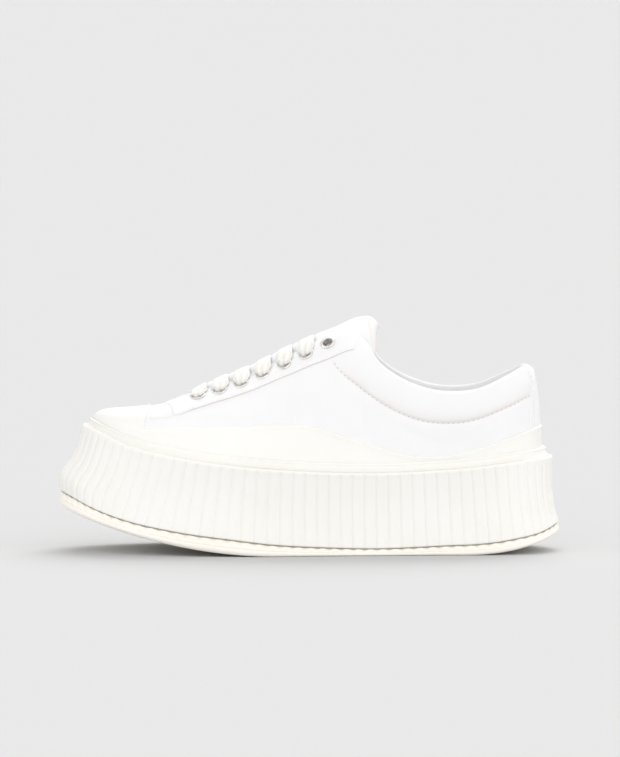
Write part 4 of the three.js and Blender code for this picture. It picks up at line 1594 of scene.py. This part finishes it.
@dataclass
class Eyelets:
    """The rolled metal eyelets in the eyestay.

    Attributes:
        upper: The shell that they are set in.
        pairs: Number of pairs.
        first: Place of the first pair along X.
        step: Distance to the next pair along X.
        up: Share up the wall.
        hole: Radius of the hole.
        flange: Radius of the flange.
        lift: Height of the flange's foot over the cloth.
        barrel: Depth of the barrel under the flange.
        sheet: Thickness of the metal.
    """

    upper: Upper
    pairs: int = 7
    first: float = 65.0
    step: float = -12.68
    up: float = 0.86
    hole: float = 2.9
    flange: float = 4.4
    lift: float = 0.9
    barrel: float = 3.4
    sheet: float = 0.35

    def place(self, pair: int, side: Side) -> tuple[Array, Array]:
        """Find an eyelet's seat.

        Args:
            pair: Number of the pair, from 0 at the toe.
            side: Side of the foot.

        Returns:
            The place on the bare cloth and its normal.
        """
        last = self.upper.last
        back, front = (0.1, 0.5) if side is Side.OUTER else (0.9, 0.5)
        target = self.first + pair * self.step
        for _ in range(30):
            middle = (back + front) / 2
            x = float(last.wall(np.array(middle), np.array(self.up))[0])
            back, front = (middle, front) if x < target else (back, middle)
        share = np.interp(back, last.knots, last.run / last.run[-1])
        spot, normal = last.surface(np.array([share]), np.array([self.up]), 0.0)
        return spot[0], normal[0]

    def seat(self, pair: int, side: Side, lift: float) -> Matrix:
        """Placement of an eyelet, with Z off the cloth."""
        spot, normal = self.place(pair, side)
        return frame_at(spot + normal * lift, np.array([1.0, 0, 0]) - normal * normal[0], normal)

    def build(self, pair: int, side: Side) -> bpy.types.Object:
        """Spin one eyelet: barrel, rolled flange and turned foot.

        Args:
            pair: Number of the pair.
            side: Side of the foot.

        Returns:
            The eyelet.
        """
        shape = bmesh.new()
        middle, reach = (self.hole + self.flange) / 2, (self.flange - self.hole) / 2
        outer = self.hole + self.sheet
        profile = [(self.hole, -self.barrel), (self.hole, -0.2), (self.hole + 0.06, 0.3)]
        for angle in np.linspace(math.pi * 0.86, 0, 9):
            profile.append((middle + reach * math.cos(angle), 0.1 + 0.6 * math.sin(angle)))
        profile += [(self.flange - 0.25, 0.0), (outer, 0.0), (outer, -self.barrel)]
        corners = [shape.verts.new((r * MM, 0, z * MM)) for r, z in profile]
        lines = [shape.edges.new((a, b)) for a, b in zip(corners, corners[1:] + corners[:1])]
        bmesh.ops.spin(
            shape, geom=corners + lines, cent=(0, 0, 0), axis=(0, 0, 1), angle=2 * math.pi,
            steps=36, use_merge=True,
        )
        bmesh.ops.transform(shape, matrix=self.seat(pair, side, self.lift), verts=shape.verts)
        return finish_mesh(f"metal_eyelet_{side.name.lower()}_{pair + 1}", shape)

    def drill(self) -> bpy.types.Object:
        """Build the cutter for every eyelet hole.

        Returns:
            The joined cutter.
        """
        shape = bmesh.new()
        radius = (self.hole + 0.55) * MM
        bmesh.ops.create_cone(
            shape, cap_ends=True, segments=24, radius1=radius, radius2=radius, depth=9 * MM)
        seats = [self.seat(pair, side, 0.0) for pair in range(self.pairs) for side in Side]
        return joined_copies("eyelet_drill", shape, seats)


@dataclass
class Lace:
    """The flat cotton lace: straight bars over the tongue, and its runs under the eyestay.

    Attributes:
        eyelets: The eyelets that it runs through.
        tongue: The tongue that it lies over.
        laced: Number of pairs that hold it.
        width: Width of the flat lace.
        thick: Its thickness.
        pinched: Its width in an eyelet.
        lift: Height of a bar's middle over the tongue.
        slip: How far below an eyelet's middle it leaves the hole.
        depth: How deep its hidden runs lie under the cloth.
        length: Length of what has been swept so far.
    """

    eyelets: Eyelets
    tongue: Tongue
    laced: int = 6
    width: float = 9.8
    thick: float = 1.8
    pinched: float = 5.8
    lift: float = -0.5
    slip: float = 0.7
    depth: float = 2.9
    length: float = 0.0

    def sweep(
        self, name: str, path: Array, ups: Array, widths: Array, thicks: Array, folds: Array
    ) -> bpy.types.Object:
        """Sweep the lace's section along a path.

        Args:
            name: Name of the piece.
            path: Places along it.
            ups: Directions off its face.
            widths: Widths along it.
            thicks: Thicknesses along it.
            folds: Strength of the pinched folds along it.

        Returns:
            One closed length of lace.
        """
        way = np.gradient(path, axis=0)
        way /= np.linalg.norm(way, axis=1, keepdims=True)
        aside = np.cross(ups, way)
        aside /= np.linalg.norm(aside, axis=1, keepdims=True)
        up = np.cross(way, aside)
        turn = np.linspace(0, 2 * math.pi, 40, endpoint=False)
        across = np.sign(np.cos(turn)) * np.abs(np.cos(turn)) ** 0.7
        rise = np.sign(np.sin(turn)) * np.abs(np.sin(turn)) ** 0.7
        crease = 1 - folds[:, None] * 0.55 * (0.5 + 0.5 * np.cos(across * 2.5 * math.pi + 0.5))
        high = rise[None] * thicks[:, None] / 2 * crease
        edge = across[None] * widths[:, None] / 2
        places = path[:, None] + aside[:, None] * edge[..., None] + up[:, None] * high[..., None]
        self.length += float(run_along(path)[-1])
        shade = folds[:, None] * (1 - crease) * 0.55
        shade = np.broadcast_to(shade, places.shape[:2])
        return Cloth(name, places, flat_pattern(places), around=False, shade=shade).build()

    def bar(self, pair: int) -> bpy.types.Object:
        """Build one bar, from inside one eyelet to inside the other.

        Args:
            pair: Number of the pair.

        Returns:
            The bar.
        """
        outer, normal = self.eyelets.place(pair, Side.OUTER)
        inner, other = self.eyelets.place(pair, Side.INNER)
        count = 90
        run = np.linspace(-1, 1, count)
        reach = np.abs(run)
        middle = (outer + inner) / 2
        crown = float(self.tongue.crown(middle[0])) + self.lift
        start = np.where(run[:, None] < 0, inner[None], outer[None])
        ups = np.where(run[:, None] < 0, other[None], normal[None])
        # The lace dives into its eyelet over the last tenth of its run.
        dive = ease(reach, 0.86, 1.0)
        span = np.clip(reach / 0.88, 0, 1)
        # It leaves each eyelet over the lower edge, towards the heel.
        down = np.cross(ups, np.array([1.0, 0, 0])) * np.sign(run)[:, None]
        down /= np.linalg.norm(down, axis=1, keepdims=True)
        slip = down * self.slip - np.array([self.slip / 2, 0, 0])
        start = start + slip
        seat = start + ups * 2.5
        y = mix(0, seat[:, 1], span * mix(1.0, 0.95, ease(reach, 0.8, 1)))
        bow = span**1.9
        path = np.stack([mix(middle[0], seat[:, 0], span), y, mix(crown, seat[:, 2], bow)], -1)
        path -= ups * (5.6 * dive**1.3)[:, None]
        path = mix(path, start - ups * 2.2, (ease(reach, 0.9, 1.0) * 0.85)[:, None])
        slope = (self.tongue.crown(middle[0] + 2) - self.tongue.crown(middle[0] - 2)) / 4
        flat = np.broadcast_to(np.array([-float(slope), 0, 1.0]), ups.shape)
        faces = mix(flat, ups, ease(reach, 0.35, 0.8)[:, None])
        toward = np.stack([np.zeros(count), np.sign(run), np.zeros(count)], -1)
        faces = mix(faces, toward, (dive * 0.8)[:, None])
        pinch = ease(reach, 0.66, 0.97)
        widths = mix(self.width + 0.9 * ease(reach, 0.35, 0.7), self.pinched, pinch)
        thicks = mix(self.thick, 2.2, ease(reach, 0.5, 0.9))
        folds = ease(reach, 0.3, 0.7)
        return self.sweep(f"lace_bar_over_{pair + 1}", path, faces, widths, thicks, folds)

    def under(self, start: tuple[int, Side], end: float) -> bpy.types.Object:
        """Build a hidden run under the eyestay, from an eyelet towards the collar.

        Args:
            start: Pair and side that it leaves.
            end: Pair that it reaches, on the same side.

        Returns:
            The run.
        """
        pair, side = start
        low, normal = self.eyelets.place(pair, side)
        high, other = self.eyelets.place(math.ceil(end), side)
        high = mix(low, high, (end - pair) / (math.ceil(end) - pair))
        share = np.linspace(0, 1, 30)[:, None]
        path = mix(low - normal * self.depth, high - other * self.depth, share)
        path -= normal[None] * 0.4 * np.sin(math.pi * share)
        ups = mix(normal[None], other[None], share)
        ones = np.ones(30)
        widths = mix(self.pinched, self.width * 0.8, np.sin(math.pi * share[:, 0]))
        name = f"lace_run_under_{side.name.lower()}_{pair + 1}"
        return self.sweep(name, path, ups, widths, ones * 1.1, ones * 0)

    def build(self) -> bpy.types.Object:
        """Build the whole lace and join it.

        Returns:
            The lace.
        """
        outer, inner = Side.OUTER, Side.INNER
        top = self.eyelets.pairs - 1.3
        runs = (((0, outer), 1), ((1, inner), 3), ((3, outer), 5), ((5, inner), top),
                ((0, inner), 2), ((2, outer), 4), ((4, inner), top))
        parts = [self.bar(pair) for pair in range(self.laced)]
        parts += [self.under(start, end) for start, end in runs]
        whole = bmesh.new()
        for part in parts:
            whole.from_mesh(part.data)
            mesh = part.data
            bpy.data.objects.remove(part)
            bpy.data.meshes.remove(mesh)
        return finish_mesh("cotton_lace", whole)


# ---------------------------------------------------------------- studio
@dataclass
class Studio:
    """Camera, floor and light.

    Attributes:
        aim: Where the camera points, in millimetres.
        elevation: Its height over the level, in degrees.
        distance: Its distance, in metres.
        view_height: Height of the view at the shoe, in millimetres.
        sky: Brightness of the surroundings.
        floor: Grey of the floor.
    """

    aim: tuple[float, float, float] = (-0.47, 0.0, 101.4)
    elevation: float = 4.0
    distance: float = 10.0
    view_height: float = 447.4
    sky: float = 0.586
    floor: float = 0.576

    def camera(self) -> None:
        """Place a long-lens camera on the shoe's outer side."""
        data = bpy.data.cameras.new("camera")
        data.sensor_fit = "VERTICAL"
        data.sensor_height = 36.0
        data.lens = 36.0 * self.distance / (self.view_height * MM)
        data.clip_end = 100.0
        camera = bpy.data.objects.new("camera", data)
        bpy.context.collection.objects.link(camera)
        tilt = math.radians(self.elevation)
        away = Vector((0, math.cos(tilt), math.sin(tilt)))
        camera.location = Vector(self.aim) * MM + away * self.distance
        camera.rotation_euler = away.to_track_quat("Z", "Y").to_euler()
        bpy.context.scene.camera = camera

    def light(self) -> None:
        """A key from above and behind, a front fill and two soft side lights."""
        world = bpy.data.worlds.new("studio")
        world.use_nodes = True
        ground = world.node_tree.nodes["Background"]
        ground.inputs[0].default_value = (*[self.sky] * 3, 1)
        ground.inputs[1].default_value = 1.0
        bpy.context.scene.world = world
        for name, way, strength, spread in (
            ("key", (-0.16, -0.66, 0.735), 2.2, 44), ("fill", (-0.1, 0.94, 0.42), 1.37, 70),
            ("toe_rim", (0.95, 0.25, 0.2), 0.95, 60), ("heel_rim", (-0.95, 0.25, 0.2), 0.88, 60),
        ):
            data = bpy.data.lights.new(name, "SUN")
            data.energy = strength
            data.angle = math.radians(spread)
            lamp = bpy.data.objects.new(name, data)
            lamp.rotation_euler = Vector(way).to_track_quat("Z", "Y").to_euler()
            bpy.context.collection.objects.link(lamp)

    def ground(self) -> None:
        """Lay a plain pale floor."""
        shape = bmesh.new()
        bmesh.ops.create_grid(shape, x_segments=1, y_segments=1, size=40.0)
        floor = finish_mesh("floor", shape)
        n = Nodes("pale_floor")
        n.shader.inputs["Base Color"].default_value = (*[self.floor] * 3, 1)
        n.shader.inputs["Roughness"].default_value = 1.0
        n.shader.inputs["Specular IOR Level"].default_value = 0.0
        dress(floor, n.material)

    def build(self) -> None:
        """Set the whole studio."""
        bpy.context.scene.view_settings.view_transform = "Standard"
        self.camera()
        self.light()
        self.ground()


@dataclass
class Sneaker:
    """The whole shoe: builds, dresses and ties each piece to the shoe."""

    finishes: Finishes = field(default_factory=Finishes)

    def keep(
        self, piece: bpy.types.Object, slot: str, nodes: Sequence[str], *finishes: object
    ) -> bpy.types.Object:
        """Dress a piece, tie it to the shoe and say what it stands for.

        Args:
            piece: The piece.
            slot: Not used.
            nodes: The CAD nodes that it stands for.
            finishes: Its finishes, in the order of its material numbers.

        Returns:
            The piece.
        """
        materials = [
            bpy.data.materials.get(finish.name) or finish.make() for finish in finishes
        ]
        dress(piece, *materials)
        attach(piece, "root")
        if nodes:
            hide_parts(*nodes)
        log.info("%s: %d faces", piece.name, len(piece.data.polygons))
        return piece

    def build(self) -> None:
        """Build every piece in order."""
        f, last = self.finishes, Last()
        upper, platform = Upper(last), Platform(last)
        eyelets, tongue = Eyelets(upper), Tongue()
        self.keep(platform.outsole(), "outsole_rubber", ["outsole"], f.tread)
        self.keep(platform.midsole(), "wall_rubber", ["midsole"], f.wall)
        self.keep(platform.band(), "wall_rubber", ["foxing_band"], f.wall)
        self.keep(platform.insole(), "lining", ["insole"], f.lining)
        shell, stay = upper.build(), facing_panel(upper).build()
        drill = eyelets.drill()
        for piece in (shell, stay):
            cut_away(piece, drill)
        bpy.data.objects.remove(drill)
        self.keep(shell, "canvas", ["upper"], f.canvas, f.lining)
        self.keep(stay, "canvas", [], f.facing)
        self.keep(vamp_panel(upper).build(), "canvas", [], f.canvas)
        self.keep(heel_panel(upper).build(), "canvas", [], f.canvas)
        self.keep(Guard(upper).build(), "guard_rubber", ["rubber_guard"], f.guard)
        threads, holes = Seams(upper).build()
        self.keep(threads, "canvas", [], f.thread)
        # The needle holes' marks are painted shade.
        self.keep(holes, "canvas", [], f.hole_shade)
        lace = Lace(eyelets, tongue)
        bars = [eyelets.first + eyelets.step * pair for pair in range(lace.laced)]
        self.keep(tongue.build(bars), "canvas", ["tongue"], f.canvas)
        for side, word in ((Side.OUTER, "lateral"), (Side.INNER, "medial")):
            for pair in range(eyelets.pairs):
                node = f"eyelet_{word}_{pair + 1}"
                self.keep(eyelets.build(pair, side), "eyelet_metal", [node], f.nickel)
        nodes = [f"lace_bar_{pair + 1}" for pair in range(lace.laced)]
        self.keep(lace.build(), "lace_cotton", nodes, f.cotton)
        log.info("lace length %.0f mm", lace.length)


def main() -> None:
    """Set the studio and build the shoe."""
    logging.basicConfig(level=logging.INFO, format="%(name)s %(message)s")
    Studio().build()
    Sneaker().build()


if __name__ == "__main__":
    main()
